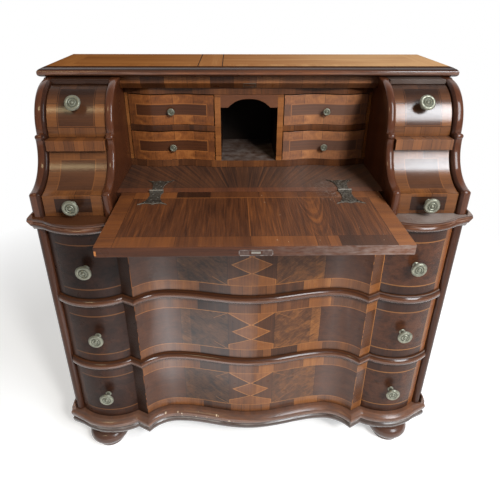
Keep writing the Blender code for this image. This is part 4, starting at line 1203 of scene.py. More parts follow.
def moulding_walnut(name, low, high, tone):
    """Moulding walnut along the serpentine, worn on its crest and chipped, with bands of painted shade, a
    painted reflection along its lower edge, a painted highlight streak, and grey dirt with a painted sheen
    at the right end of its ledge.
    """
    graph = Graph(name)
    u, z = graph.surface()
    graining, pores = grained(graph, u, z, 21.0, 90.0)
    height = (z - low) / (high - low)
    crest = (1.0 - abs(height - 0.60) * 3.2).clamped()
    patchiness = graph.noise((u * 30.0, z * 260.0, 2.0), 4.0)
    chips = (graph.noise((u * 95.0, z * 320.0, 6.0), 3.0) > 0.76) * crest
    # Painted shade: a band low on the nose and a band near its top are darkened.
    painted_shade = height.peak(0.36, 0.12).above((height > 0.84) * (height < 0.96))
    tone = tone + graining * 0.30 + crest * (patchiness - 0.35) * 0.60 - painted_shade * 0.08
    # Painted reflection: a pale grey line, broken by noise, along the lower edge.
    lower_edge = height.peak(0.13, 0.10)
    # Painted highlight: a pale streak just below the crest, broken by noise.
    pale_lines = height.peak(0.58, 0.10) * patchiness.rising(0.46, 5.0) * 0.30
    # Grey dirt and a painted sheen on the ledge, growing towards the right end.
    ledge = (height > 0.94) * u.rising(0.28, 6.0) * 0.30
    dust = (lower_edge * patchiness.rising(0.26, 2.6) * 0.80).above(ledge).above(pale_lines)
    return polished(graph, tone, 0.40, pores, dust, cream=chips * 0.7, coat=0.90, rough=0.22,
                    coat_rough=0.14)


def dust_and_sheen_walnut(name, tone, dust_and_sheen_amount):
    """Plain walnut of the waist's ledge and the wings' rails, paler towards its right end with grey dirt
    and a painted sheen.
    """
    graph = Graph(name)
    x, y, z = graph.space()
    graining, pores = grained(graph, x, y + z * 0.6, 87.0)
    soil = graph.noise((x * 30.0, y * 30.0, 3.0), 3.0)
    # Grey dirt and a painted sheen, growing towards the right end.
    dust = x.rising(0.30, 8.0) * (0.35 + soil) * dust_and_sheen_amount
    return polished(graph, tone + graining * 0.26, 0.3, pores, dust)


def top_edge_walnut():
    """Moulded edge of the top: painted shade low on it and at its lip, and a painted highlight along its
    roll, greyer towards both ends.
    """
    graph = Graph("top_edge_walnut")
    x, y, z = graph.space()
    graining, pores = grained(graph, x, y + z, 91.0)
    height = (z - TOP_BOTTOM) / (TOP_HIGH.z - TOP_BOTTOM)
    patchiness = graph.noise((x * 14.0, y * 14.0, z * 200.0), 4.0)
    roll = height.peak(0.46, 0.20)
    # Painted highlight: the roll is lightened, broken by noise; painted shade below a quarter and above
    # three quarters of the height.
    tone = 0.36 + graining * 0.46 + roll * (patchiness - 0.32) * 0.7 - drawer_edges(height, 0.24, 0.76) * 0.18
    # Painted highlight in grey along the roll, towards both ends.
    dust = roll * (abs(x) * 2.6 - 0.40).clamped() * patchiness.rising(0.32, 2.4) * 0.45
    return polished(graph, tone, 0.5, pores, dust, coat=0.9, coat_rough=0.10)


def base_walnut():
    """Base moulding: a worn reddish torus over dark steps, with a painted highlight along the torus's
    crest.
    """
    graph = Graph("base_moulding_walnut")
    u, z = graph.surface()
    graining, pores = grained(graph, u, z, 25.0, 90.0)
    height = (z - FOOT_HEIGHT) / (BASE_TOP - FOOT_HEIGHT)
    torus = height > 0.42
    patchiness = graph.noise((u * 30.0, z * 200.0, 3.0), 4.0)
    patches = graph.noise((u * 24.0, z * 30.0, 8.0), 2.0)
    worn_stretch = u.near(-0.17, 0.12) * height.between(0.60, 0.92)
    chips = graph.spots((u * 90.0, z * 70.0, 0.0)) < (patches - 0.30) * worn_stretch * 0.8
    tone = torus.choose(0.39 + (patchiness - 0.4) * 0.34, 0.22) + graining * 0.28
    soil = graph.noise((u * 14.0, z * 40.0, 9.0), 3.0)
    # Painted highlight: a broken pale streak of grey along the torus's crest.
    crest = height.peak(0.66, 0.14) * patchiness.rising(0.40, 3.0)
    steps = height.near(0.13, 0.025).above(height.near(0.33, 0.03)) * soil.rising(0.36, 4.0)
    dust = ((1.0 - torus) * soil.rising(0.40, 1.4) * 0.25).above(crest * 0.40)
    dust = dust.above(steps * 0.6).above(0.08)
    return polished(graph, tone, 0.40, pores, dust, cream=chips * 0.85, coat=0.80, rough=0.26,
                    coat_rough=0.20)


def scuffed(graph, u, v):
    """Fine pale scuffs, as round the right hinge."""
    return graph.noise((u * 140.0, v * 260.0, 4.0), 4.0, 1.0).rising(0.50, 5.0)


def fall_inside():
    """Writing surface: light borders with joints, a hinge strip, and a two-leaf grained field, with a
    painted sheen of grey towards the right.
    """
    graph = Graph("fall_inside_veneer")
    sizes = graph.sizes
    u, y = graph.surface()
    v = y - FALL_LOW.y
    half = FALL_HIGH.x
    strip_start = FALL_LENGTH - FALL_STRIP
    level, pores = grained(graph, u, v, 31.0)
    upright = grained(graph, v, u, 33.0)[0]
    side = abs(u) > half - FALL_SIDE_BORDER
    front = v < FALL_FRONT_BORDER
    hinge = v > strip_start
    front_tone, front_joints = graph.steps(u, 0.51, FALL_FRONT_BAND)
    side_tone, side_joints = graph.steps(v, 0.51, ((FALL_FRONT_BORDER, 0.50), (0.160, 0.46)))
    hinge_tone, hinge_joints = graph.steps(u, 0.52, FALL_HINGE_BAND)

    ribs = graph.noise((u * 210.0, v * 9.0, 5.0), 4.0, 0.8)
    left = 0.375 + upright * 0.46 + (ribs - 0.5) * 0.50
    bend = (u - 0.145) * (u - 0.145) * 34.0 - v * 0.30
    cathedral = graph.noise((bend * 150.0, u * 3.0, 6.0), 4.0, 0.2)
    right = 0.41 + (cathedral - 0.5) * 0.56 + upright * 0.38 + (ribs - 0.5) * 0.50
    tone = (u > -0.010).choose(right, left)
    tone = u.near(-0.010, 0.0009).choose(0.62, tone)
    tone = hinge.choose(hinge_tone + upright * 0.40, tone)
    tone = v.near(strip_start, sizes.line / 2).choose(0.70, tone)
    tone = front.choose(front_tone + upright * 0.46, tone)
    tone = side.choose(side_tone + (u > 0.0) * 0.10 + level * 0.44, tone)
    edges = v.near(FALL_FRONT_BORDER, sizes.joint / 2) * (1.0 - side)
    edges = abs(u).near(half - FALL_SIDE_BORDER, sizes.joint / 2).above(edges)
    marks = (front_joints * front * (1.0 - side)).above(side_joints * side).above(hinge_joints * hinge)
    tone = marks.above(edges).choose(0.16, tone)
    specks = (graph.spots((u * 42.0, v * 42.0, 0.0)) < 0.045) * (u > 0.02)
    streaks = scuffed(graph, u, v) * u.peak(0.212, 0.06) * ((v - FALL_LENGTH) * 14.0 + 1.2).clamped()
    sheen = 0.10 + u.rising(-0.05, 1.2) * 0.40
    # Painted sheen: a grey veil laid on towards the right.
    painted_sheen = u.rising(-0.02, 4.0) * 0.05
    return polished(graph, tone, 0.45, pores, (streaks * 0.7).above(painted_sheen), cream=specks, coat=sheen,
                    coat_rough=0.25, rough=0.34)


def fall_outside():
    """Outer face of the fall: a crossbanded border, stringing and a matched pair of leaves."""
    graph = Graph("fall_outside_veneer")
    sizes = graph.sizes
    u, y = graph.surface()
    v = y - FALL_LOW.y
    half = FALL_HIGH.x
    upright, pores = grained(graph, v, u, 41.0)
    rim = (half - abs(u)).below(v).below(FALL_LENGTH - v)
    border_tone = graph.segments(u + v, 0.11, 7.1)[0]
    figure = burl(graph, abs(u), v, 43.0)
    tone = (rim < 0.042).choose(0.46 + border_tone * 0.20 + upright * 0.25, 0.22 + figure * 0.24)
    tone = rim.near(0.043, sizes.line / 2).choose(0.74, tone)
    tone = (abs(u).near(0.0, sizes.joint / 2) * (rim > 0.042)).choose(0.08, tone)
    return polished(graph, tone, 0.4, pores)


def fall_edge():
    """Edges of the fall: dark on the left, with a painted reflection that grows lighter and greyer towards
    the right, chipped at the left corner.
    """
    graph = Graph("fall_edge_walnut")
    x, y, z = graph.space()
    graining, pores = grained(graph, x, y + z, 97.0)
    # Painted reflection: lighter and greyer towards the right, broken by streaky noise.
    streaks = graph.noise((x * 60.0, y * 200.0, z * 200.0), 4.0)
    paler_right = x.rising(-0.02, 3.2)
    chip = (x < FALL_LOW.x + 0.005) * (y < FALL_LOW.y + 0.01)
    chip = chip * z.between(FALL_LOW.z + 0.004, FALL_HIGH.z - 0.009)
    dust = paler_right * streaks.rising(0.25, 2.0) * 0.42
    tone = chip.choose(0.82, 0.31 + graining * 0.40 + paler_right * 0.10)
    return polished(graph, tone, 0.6, pores, dust, coat=0.20)


def bed_walnut():
    """Bed behind the hinges: darker, with grain fanning out from the back, scuff marks by the right hinge,
    and a painted sheen of grey, most on the right.
    """
    graph = Graph("bed_walnut")
    u, y = graph.surface()
    v = y - HINGE_Y
    upright, pores = grained(graph, v, u, 51.0)
    bend = abs(u + 0.02) / (v + 0.16) * 0.30
    fan = graph.noise((bend * 190.0, v * 3.0, 8.0), 4.0, 0.4)
    tone = 0.315 + (fan - 0.5) * 0.84 + upright * 0.30 + u.rising(-0.05, 2.0) * 0.06
    tone = (v < 0.030).choose(0.42 + upright * 0.34, tone)
    tone = v.near(0.030, 0.0008).choose(0.14, tone)
    red = (v < 0.030).choose(0.7, 0.30)
    streaks = scuffed(graph, u, v) * u.peak(0.20, 0.08) * (1.25 - v * 7.5).clamped()
    sheen = 0.12 + u.rising(-0.05, 2.0) * 0.55
    # Painted sheen: a grey veil laid on everywhere, more towards the right.
    painted_sheen = 0.025 + u.rising(-0.02, 5.0) * 0.08
    return polished(graph, tone, red, pores, (streaks * 0.7).above(painted_sheen), coat=sheen, coat_rough=0.25,
                    rough=0.34)


def top_walnut():
    """Upper face of the desk: boards with dark joints and a dark front lip, lighter and greyer towards the
    right from sun-fading and a painted reflection.
    """
    graph = Graph("top_walnut")
    u, y = graph.surface()
    level, pores = grained(graph, u, y, 61.0)
    upright = grained(graph, y, u, 63.0)[0]
    middle = u.between(-0.138, -0.073)
    joints = u.near(-0.138, 0.0014).above(u.near(-0.073, 0.0014))
    forward = y - TOP_LOW.y - TOP_EDGE
    rim = (EAR_X - TOP_EDGE - abs(u)).below(forward) < 0.060
    # Lighter and greyer towards the right: sun-fading, and a painted reflection.
    paler_right = u.rising(-0.30, 1.5)
    tone = middle.above(rim).choose(0.72 + upright * 0.34, 0.70 + level * 0.40) + paler_right * 0.28
    tone = joints.choose(0.18, tone)
    lip = forward < 0.026
    tone = lip.choose(0.30 + level * 0.3, tone)
    dust = paler_right * (1.0 - lip) * 0.18
    return polished(graph, tone, 0.3, pores, dust, coat=0.0, specular=0.0, rough=0.46)


def back_boards():
    """Back of the desk: aged softwood boards outside, near-black inside as painted shade."""
    graph = Graph("back_boards")
    x, y, z = graph.space()
    rings = graph.noise((x * 90.0, y * 5.0, z * 3.0), 3.0, 0.5)
    stain = graph.noise((x * 7.0, y * 7.0, z * 5.0), 4.0)
    cell = x / 0.205 + 0.5
    board_tone = graph.chance(cell.floor())
    gap = abs(cell - cell.floor() - 0.5) > 0.4955
    pale = tuple(0.62 * c for c in graph.metal.softwood)
    colour = graph.mix(rings.rising(0.42, 1.5), pale, tuple(0.40 * c for c in pale))
    stained = ((stain - 0.45) * 1.6 + board_tone * 0.35).clamped()
    colour = graph.mix(stained, colour, tuple(0.34 * c for c in pale))
    colour = graph.mix(gap, colour, (0.008, 0.005, 0.004))
    # Painted shade: the inner face is made near-black.
    colour = graph.mix(y < BACK_INNER + 0.004, colour, (0.012, 0.008, 0.006))
    return graph.finished({"Base Color": colour, "Roughness": 0.66 + rings * 0.2,
                           "Specular IOR Level": 0.20}, (0.4, 0.0008, rings - gap * 2.0))


def softwood():
    """Bare drawer wood: straight brown lines, soft stains."""
    graph = Graph("bare_softwood")
    x, y, z = graph.space()
    rings = graph.noise((x * 3.0, y * 5.0, z * 150.0), 3.0, 0.4)
    flat = graph.noise((x * 110.0, y * 4.0, z * 8.0), 3.0, 0.6)
    stain = graph.mottled(7.0, 4.0)
    pale = graph.metal.softwood
    brown = tuple(0.42 * c for c in pale)
    lines = rings.rising(0.45, 1.2).above(flat.rising(0.52, 1.6))
    colour = graph.mix(lines, pale, brown)
    colour = graph.mix(stain.rising(0.45, 1.5), colour, tuple(0.30 * c for c in pale))
    return graph.finished({"Base Color": colour, "Roughness": 0.62 + rings * 0.2,
                           "Specular IOR Level": 0.25}, (0.3, 0.0006, rings))


def aged_brass():
    """Cast brass gone grey-green, darker in the turned grooves, and less bright on the left as painted
    shade.
    """
    graph = Graph("aged_brass")
    colours = graph.metal
    x = graph.space()[0]
    bloom = graph.mottled(160.0, 4.0)
    pits = graph.mottled(700.0, 2.0)
    hollow = ((0.508 - graph.pointiness()) * 18.0).clamped()
    # Patina in blooms and grooves, and painted shade: the knobs left of the middle are made less bright.
    patina_and_shade = (bloom.rising(0.38, 2.6) * 0.80).above(hollow * 0.85).above((x < 0.0) * 0.42)
    colour = graph.mix(patina_and_shade, colours.brass, colours.patina)
    return graph.finished({"Base Color": colour, "Metallic": 0.92 - patina_and_shade * 0.6,
                           "Roughness": 0.38 + patina_and_shade * 0.25}, (0.3, 0.0004, bloom + pits * 0.4))


def lock_iron():
    """Rusty iron of the lock plate, scraped pale along its rim."""
    low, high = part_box("fall_lock")
    graph = Graph("lock_iron")
    x, _, z = graph.space()
    stain = graph.mottled(140.0, 4.0)
    inward = (high.x - abs(x)).below(z - low.z).below(high.z - z)
    rim = inward.between(0.0004, 0.0018) * stain.rising(0.36, 4.0)
    colour = graph.mix(stain.rising(0.40, 2.0), (0.070, 0.042, 0.034), (0.15, 0.095, 0.078))
    colour = graph.mix(rim * 0.45, colour, (0.42, 0.40, 0.37))
    return graph.finished({"Base Color": colour, "Metallic": 0.2, "Roughness": 0.45 + stain * 0.2,
                           "Specular IOR Level": 0.25})


def dark_iron():
    """Hand-forged iron: dark, stained, and scraped pale in patches, most of all on the right, with painted
    highlights along its edges.
    """
    graph = Graph("dark_iron")
    colours = graph.metal
    x, y, _ = graph.space()
    stain = graph.mottled(90.0, 4.0)
    hammer = graph.mottled(260.0, 3.0)
    scrape = graph.noise((x * 190.0, y * 110.0, 5.0), 4.0)
    # Painted highlight: pale grey along the sharp edges.
    edge = graph.pointiness().rising(0.52, 9.0)
    colour = graph.mix(stain.rising(0.40, 2.0), colours.iron, colours.rust)
    scraped = scrape.rising(0.44, 4.0) * (0.28 + (x > 0.0) * 0.62)
    colour = graph.mix(scraped, colour, (0.150, 0.130, 0.108))
    colour = graph.mix(edge * 0.30, colour, (0.36, 0.33, 0.28))
    return graph.finished({"Base Color": colour, "Metallic": 0.05, "Roughness": 0.55 + stain * 0.2,
                           "Specular IOR Level": 0.06}, (0.5, 0.0008, hammer + stain))


def steel():
    """Dull scraped steel of the lock's bolt, also laid on the hinges' rims and knuckles as painted
    highlights.
    """
    graph = Graph("lock_steel")
    x, y, z = graph.space()
    scratch = graph.noise((x * 60.0, y * 300.0, z * 900.0), 3.0)
    stain = graph.mottled(120.0, 4.0)
    colour = graph.mix(stain.rising(0.40, 2.2), (0.27, 0.245, 0.21), (0.08, 0.06, 0.05))
    return graph.finished({"Base Color": colour, "Metallic": 0.7 - stain * 0.3,
                           "Roughness": 0.36 + scratch * 0.2}, (0.2, 0.0003, scratch))


def niche_floor():
    """Dusty grey-brown inside of the niche."""
    graph = Graph("niche_dust")
    x, y, z = graph.space()
    graining, pores = grained(graph, x, y + z, 71.0)
    soil = graph.mottled(40.0, 4.0)
    return polished(graph, 0.26 + graining * 0.2, 0.1, pores, soil.rising(0.3, 1.3) * 0.5,
                    coat=0.0, specular=0.2, rough=0.6)


FINISHES = {
    "front": front_veneer,
    "wing_upper": wing_upper_veneer,
    "wing_lower": wing_lower_veneer,
    "interior": interior_veneer,
    # The last number given to the wing shelves' and the frieze's crossbands is the strength of a painted
    # sheen on their right half.
    "shelf_edge": lambda: crossbanded("wing_shelf_crossband", 0.024, 2.2, 0.44, 0.58, 0.06),
    "frieze": lambda: crossbanded("frieze_crossband", 0.062, 5.7, 0.32, 0.68, 0.05),
    "shelf_rail": lambda: crossbanded("interior_shelf_crossband", 0.050, 4.4, 0.26, 0.48),
    "rail": lambda: crossbanded("interior_rail_crossband", 0.048, 8.3, 0.30, 0.46),
    "upright": lambda: crossbanded("interior_upright_crossband", 0.085, 6.1, 0.54, 0.66),
    "divider": lambda: moulding_walnut("divider_walnut", 0.0, 1.0, 0.34),
    "waist": lambda: moulding_walnut("waist_walnut", WAIST_BOTTOM, WAIST_TOP, 0.35),
    # The waist's ledge and the wings' rails grow paler towards the right with grey dirt and a painted
    # sheen.
    "ledge": lambda: dust_and_sheen_walnut("ledge_walnut", 0.36, 0.52),
    "wing_rail": lambda: dust_and_sheen_walnut("wing_rail_walnut", 0.22, 0.18),
    "base": base_walnut,
    "fall_inside": fall_inside,
    "fall_outside": fall_outside,
    "fall_edge": fall_edge,
    "bed": bed_walnut,
    "top": top_walnut,
    "side": lambda: plain_walnut("side_walnut", 0.26, 0.6, 2, 81.0),
    "bead": lambda: plain_walnut("bead_walnut", 0.34, 0.7, 2, 83.0, 0.26, coat=0.60, coat_rough=0.10),
    "panel": lambda: plain_walnut("panel_walnut", 0.31, 0.8, 2, 85.0, 0.22, coat=0.08),
    "flat": lambda: plain_walnut("flat_walnut", 0.34, 0.3, 0, 87.0, 0.26),
    "edge": lambda: plain_walnut("edge_walnut", 0.20, 0.6, 0, 89.0, 0.18, coat=0.12),
    "top_edge": top_edge_walnut,
    # The valance takes a faint painted sheen of grey.
    "valance": lambda: plain_walnut("valance_walnut", 0.45, 0.5, 0, 93.0, 0.18, dust=0.03, coat=0.1),
    "foot": lambda: plain_walnut("foot_walnut", 0.30, 0.6, 0, 95.0, 0.34, dust=0.05, rough=0.28, coat=0.8,
                                 coat_rough=0.20),
    "niche": niche_floor,
    # Painted shade: near-black walnut for the niche's inner walls and the lock plate's bolt way.
    "niche_wall": lambda: plain_walnut("niche_wall_walnut", 0.08, 0.2, 2, 99.0, 0.10, coat=0.0,
                                       specular=0.10, rough=0.6),
    "back": back_boards,
    "softwood": softwood,
    "brass": aged_brass,
    "iron": dark_iron,
    "lock": lock_iron,
    "steel": steel,
}
made_finishes = {}


def finish_named(name):
    if name not in made_finishes:
        made_finishes[name] = FINISHES[name]()
    return made_finishes[name]


def flat_plan(place):
    return place.x, place.y


def front_plane(place):
    return place.x, place.z


def front_wrap(place):
    return along_front(place.x), place.z


# Pieces

class DeskOperator:
    """What the desk's operators share."""

    bl_options = {"REGISTER", "UNDO"}

    def execute(self, context):
        self.make()
        return {"FINISHED"}


class DESK_OT_feet(DeskOperator, bpy.types.Operator):
    """Turns the four bun feet"""
    bl_idname = "desk.feet"
    bl_label = "Bun Feet"

    def make(self):
        shoulder = FOOT_HEIGHT - FIT
        ring = FOOT_NECK_RADIUS + FOOT_RING
        bun = [(0.0, shoulder), (FOOT_NECK_RADIUS, shoulder), (ring, shoulder - FOOT_RING),
               (ring, shoulder - FOOT_RING_DROP), (FOOT_NECK_RADIUS, FOOT_HEIGHT - FOOT_NECK)]
        low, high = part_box("foot_front_left")
        middle = ((high.x - low.x) / 2 - FOOT_BELLY_RADIUS, (FOOT_HEIGHT - FOOT_NECK) / 2)
        bun += arc(middle, FOOT_BELLY_RADIUS, FOOT_BELLY_TURN, -FOOT_BELLY_TURN, FOOT_STEPS)
        bun += [(FOOT_NECK_RADIUS, 0.0), (0.0, 0.0)]
        for row in ("front", "rear"):
            for side, _ in SIDES:
                node = f"foot_{row}_{side}"
                low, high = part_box(node)
                place = Matrix.Translation(((low.x + high.x) / 2, (low.y + high.y) / 2, 0.0))
                place_piece(turned(f"bun_{row}_{side}", bun, place), node, ["foot"])


def ear_strips(level, drop, rise, tip):
    """The side mouldings of a board; their front ends are the ears."""
    root = CASE_X - EAR_ROOT
    strip = [(root, level - drop)] + tip
    strip += [(CASE_X + EAR_EDGE, level + rise), (CASE_X + FIT, level + rise), (CASE_X + FIT, level - FIT),
              (root, level - FIT)]
    bodies = []
    for side, sign in SIDES:
        rings = [[(sign * x, y, z) for x, z in strip] for y in (FRONT + EAR_FRONT - FIT, BACK - FIT)]
        bodies.append(bevelled(lofted(f"ear_{side}", rings), EAR_BEVEL, 3))
    return bodies


def moulded(name, sections, end_offset):
    """A serpentine board: sections of level, offset of the front and reach of the ends."""
    rings = []
    for level, offset, reach in sections:
        plan = front_plan(offset, INNER_X - end_offset)
        end = INNER_X - end_offset if reach is None else CASE_X + reach
        corner = [] if reach is None else [(end, FRONT + EAR_FRONT)]
        right = corner + [(end, BACK_INNER if reach is None else BACK - FIT)]
        outline = plan + right + [(-x, y) for x, y in reversed(right)]
        rings.append(at_level(outline, level))
    return lofted(name, rings)


class DESK_OT_base(DeskOperator, bpy.types.Operator):
    """Runs the serpentine base moulding and its side mouldings"""
    bl_idname = "desk.base"
    bl_label = "Base Moulding"

    def make(self):
        overhang = EAR_X - CASE_X
        height = BASE_TOP - FOOT_HEIGHT
        profile = [(level, min(share, 1.0)) for level, share in smooth_line(BASE_PROFILE, 3)]
        sections = [(FOOT_HEIGHT + height * level, BASE_NOSE * share, overhang * share)
                    for level, share in profile]
        base = moulded("base_moulding", sections, 0.0)
        tip = [(EAR_X - EAR_EASE, BASE_TOP - BASE_EAR_DROP),
               (EAR_X - 2 * EAR_EASE, BASE_TOP + BASE_EAR_TIP)]
        base = joined([base] + ear_strips(BASE_TOP, BASE_EAR_DROP, BASE_EAR_RISE, tip))
        unwrap(base, front_wrap)
        place_piece(base, "base_plinth", ["base"])


class DESK_OT_waist(DeskOperator, bpy.types.Operator):
    """Runs the waist moulding with its lip and ears"""
    bl_idname = "desk.waist"
    bl_label = "Waist Moulding"

    def make(self):
        quirk, lip, lip_turn, lip_top = WAIST_LIP_PROFILE
        height = WAIST_TOP - WAIST_BOTTOM
        profile = half_round(WAIST_ROUND, 1.0)[:-1]
        profile += [(WAIST_ROUND, quirk), (height - WAIST_LIP, quirk), (height - WAIST_LIP, lip),
                    (height - WAIST_LIP * WAIST_LIP_TURN, lip_turn), (height, lip_top)]
        sections = [(WAIST_BOTTOM + level, WAIST_NOSE * share, WAIST_END * share)
                    for level, share in profile]
        waist = moulded("waist_moulding", sections, 0.0)
        tip = [(CASE_X + 2 * EAR_EDGE, WAIST_TOP - WAIST_EAR_DROP), (EAR_X, WAIST_TOP - WAIST_EAR_TIP),
               (EAR_X - EAR_EASE, WAIST_TOP)]
        waist = joined([waist] + ear_strips(WAIST_TOP, WAIST_EAR_DROP, WAIST_EAR_RISE, tip))
        unwrap(waist, front_wrap)
        place_piece(waist, "waist_board", ["waist", "ledge"])
        paint(waist, 1, is_level)


class DESK_OT_sides(DeskOperator, bpy.types.Operator):
    """Makes the sides of the chest, with rounded front edges"""
    bl_idname = "desk.sides"
    bl_label = "Chest Sides"

    def make(self):
        radius = (CASE_X - INNER_X) / 2
        for side, _ in SIDES:
            node = f"side_panel_{side}"
            low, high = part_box(node)
            middle = (low.x + high.x) / 2
            nose = arc((middle, low.y + radius), radius, 180.0, 360.0, SIDE_STEPS)
            outline = nose + [(middle + radius, BACK), (middle - radius, BACK)]
            panel = lofted(f"chest_side_{side}", [at_level(outline, z) for z in (low.z, high.z)])
            place_piece(panel, node, ["side"])


class DESK_OT_dividers(DeskOperator, bpy.types.Operator):
    """Makes the boards between the long drawers, with half-round noses"""
    bl_idname = "desk.dividers"
    bl_label = "Drawer Dividers"

    def make(self):
        for row in ("lower", "upper"):
            node = f"drawer_divider_{row}"
            low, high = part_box(node)
            height = high.z - low.z
            sections = [(low.z + level, offset, None) for level, offset in half_round(height, DIVIDER_NOSE)]
            rail = moulded(f"nosed_divider_{row}", sections, FIT)
            unwrap(rail, lambda place: (along_front(place.x), (place.z - low.z) / height))
            place_piece(rail, node, ["divider", "flat"])
            paint(rail, 1, is_level)


class DESK_OT_long_drawers(DeskOperator, bpy.types.Operator):
    """Makes the serpentine fronts of the long drawers and finishes their boxes"""
    bl_idname = "desk.long_drawers"
    bl_label = "Long Drawers"

    def make(self):
        back = FRONT + DRAWER_FRONT_BACK
        for level in LONG_DRAWERS:
            node = f"long_drawer_{level}_front"
            low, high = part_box(node)
            rings = []
            for z, inset in eased(low.z, high.z, VENEER_EDGE):
                outline = front_plan(-inset, high.x) + [(high.x, back), (low.x, back)]
                rings.append(at_level(outline, z))
            front = lofted(f"serpentine_front_{level}", rings)
            unwrap(front, front_wrap)
            place_piece(front, node, ["front", "softwood", "edge"])
            paint(front, 1, lambda middle, normal: normal.y > SQUARE)
            paint(front, 2, lambda middle, normal: is_level(middle, normal) or abs(normal.x) > ENDWISE)


def knob_profile(diameter, length, stem):
    """A ringed disc with a small boss, on a stem with a ball and a collar."""
    rim = diameter / 2
    profile = [(rim * share, length - rim * depth) for share, depth in KNOB_FACE]
    under = length - rim * KNOB_UNDER
    collar = rim * KNOB_COLLAR
    swell, reach = KNOB_BALL
    upper, lower = KNOB_FILLETS
    profile += [(stem * upper[0], under), (stem, under - rim * upper[1])]
    middle, half = (under + collar) / 2, (under - collar) * reach
    for across, along in arc((0.0, 0.0), 1.0, KNOB_BALL_TURN, -KNOB_BALL_TURN, BALL_STEPS):
        profile.append((stem * (1 + swell * across), middle + half * along))
    profile += [(stem, collar + rim * lower[1]), (stem * lower[0], collar)]
    profile += [(rim * share, rim * height) for share, height in KNOB_FOOT]
    return profile + [(rim * KNOB_FOOT[-1][0], FIT), (0.0, FIT)]


class DESK_OT_knobs(DeskOperator, bpy.types.Operator):
    """Turns the brass knobs of all the drawers"""
    bl_idname = "desk.knobs"
    bl_label = "Brass Knobs"

    def make(self):
        for level in LONG_DRAWERS:
            for side, _ in SIDES:
                node = f"long_drawer_{level}_knob_{side}"
                self.knob(node, FRONT + BOW_FRONT, KNOB_SIZE)
        slope = Vector((0.0, -math.cos(WING_KNOB_ANGLE), math.sin(WING_KNOB_ANGLE)))
        seat = Vector((0.0, WING_BULGE_Y, WING_BULGE_Z)) + slope * (WING_BULGE_RADIUS - WING_DRAWER_RECESS)
        for side, _ in SIDES:
            self.knob(f"wing_drawer_lower_{side}_knob", FRONT + WING_DRAWER_RECESS, KNOB_SIZE)
            node = f"wing_drawer_upper_{side}_knob"
            low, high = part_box(node)
            self.turn(node, Vector(((low.x + high.x) / 2, seat.y, seat.z)), slope, KNOB_SIZE)
            for row in ("lower", "upper"):
                node = f"interior_drawer_{row}_{side}_knob"
                self.knob(node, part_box(node)[0].y + SMALL_KNOB_SIZE[1], SMALL_KNOB_SIZE)

    def knob(self, node, seat_y, size):
        """A knob that points straight forward."""
        low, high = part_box(node)
        seat = Vector(((low.x + high.x) / 2, seat_y, (low.z + high.z) / 2))
        self.turn(node, seat, (0.0, -1.0, 0.0), size)

    def turn(self, node, seat, direction, size):
        piece = turned(node + "_turned", knob_profile(*size), pointing(direction, seat))
        place_piece(piece, node, ["brass"], angle=40.0)


def beaded(name, line, low_x, high_x, rear_line):
    """A strip or panel with a rounded front edge, along a (depth, height) line."""
    middle, half = (low_x + high_x) / 2, (high_x - low_x) / 2
    rings = []
    for i in range(BEAD_STEPS + 1):
        turn = math.pi * (i / BEAD_STEPS - 0.5)
        edge = drawn_in(line, BEAD_ROUND * (1 - math.cos(turn)))
        rings.append(at_side(edge + rear_line, middle + half * math.sin(turn)))
    return lofted(name, rings)


class DESK_OT_wing_panels(DeskOperator, bpy.types.Operator):
    """Cuts the S-shaped wing panels with their beaded edges"""
    bl_idname = "desk.wing_panels"
    bl_label = "Wing Panels"

    def make(self):
        line = wing_profile()
        low_z, high_z = line[0][1], line[-1][1]
        bead_rear = [(line[-1][0] + BEAD_BACK, high_z)]
        bead_rear += [(y + BEAD_BACK, max(z - BEAD_BACK, low_z)) for y, z in reversed(line[1:])]
        bead_rear += [(line[0][0] + BEAD_BACK, low_z)]
        set_back = [(y + PANEL_SETBACK, z) for y, z in line]
        for side, sign in SIDES:
            near, far = sorted((sign * INNER_X, sign * CASE_X))
            rear = [(BACK, high_z), (BACK, low_z)]
            outer = beaded(f"wing_outer_{side}", line, near, far, rear)
            place_piece(outer, f"wing_outer_panel_{side}", ["side", "bead", "edge"])
            paint(outer, 1, lambda middle, normal: abs(normal.x) < NEAR_FLAT)
            # Painted shade: the side of each outer bead that faces the drawers takes the dark edge walnut.
            paint(outer, 2, lambda middle, normal: sign * normal.x < -INWARD)

            near, far = sorted((sign * OPENING_X, sign * WING_X))
            bead = beaded(f"wing_inner_{side}", line, near, far, bead_rear)
            near, far = sorted((sign * INTERIOR_X, sign * (WING_X - FIT)))
            flat = set_back + [(BACK_INNER, high_z), (BACK_INNER, low_z)]
            thin = lofted(f"wing_thin_{side}", [at_side(flat, x) for x in (near, far)])
            inner = joined([bead, thin])
            place_piece(inner, f"wing_inner_panel_{side}", ["panel", "bead"])
            paint(inner, 1, lambda middle, normal: abs(normal.x) < NEAR_FLAT)


class DESK_OT_wing_shelves(DeskOperator, bpy.types.Operator):
    """Makes the shelves between the wing drawers"""
    bl_idname = "desk.wing_shelves"
    bl_label = "Wing Shelves"

    def make(self):
        for side, _ in SIDES:
            node = f"wing_shelf_{side}"
            low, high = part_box(node)
            shelf = board(f"wing_ledge_{side}", low, high, SHELF_EASE)
            unwrap(shelf, front_plane)
            place_piece(shelf, node, ["shelf_edge", "flat"])
            paint(shelf, 1, lambda middle, normal: normal.y > -SLANTED and normal.z < SLANTED)


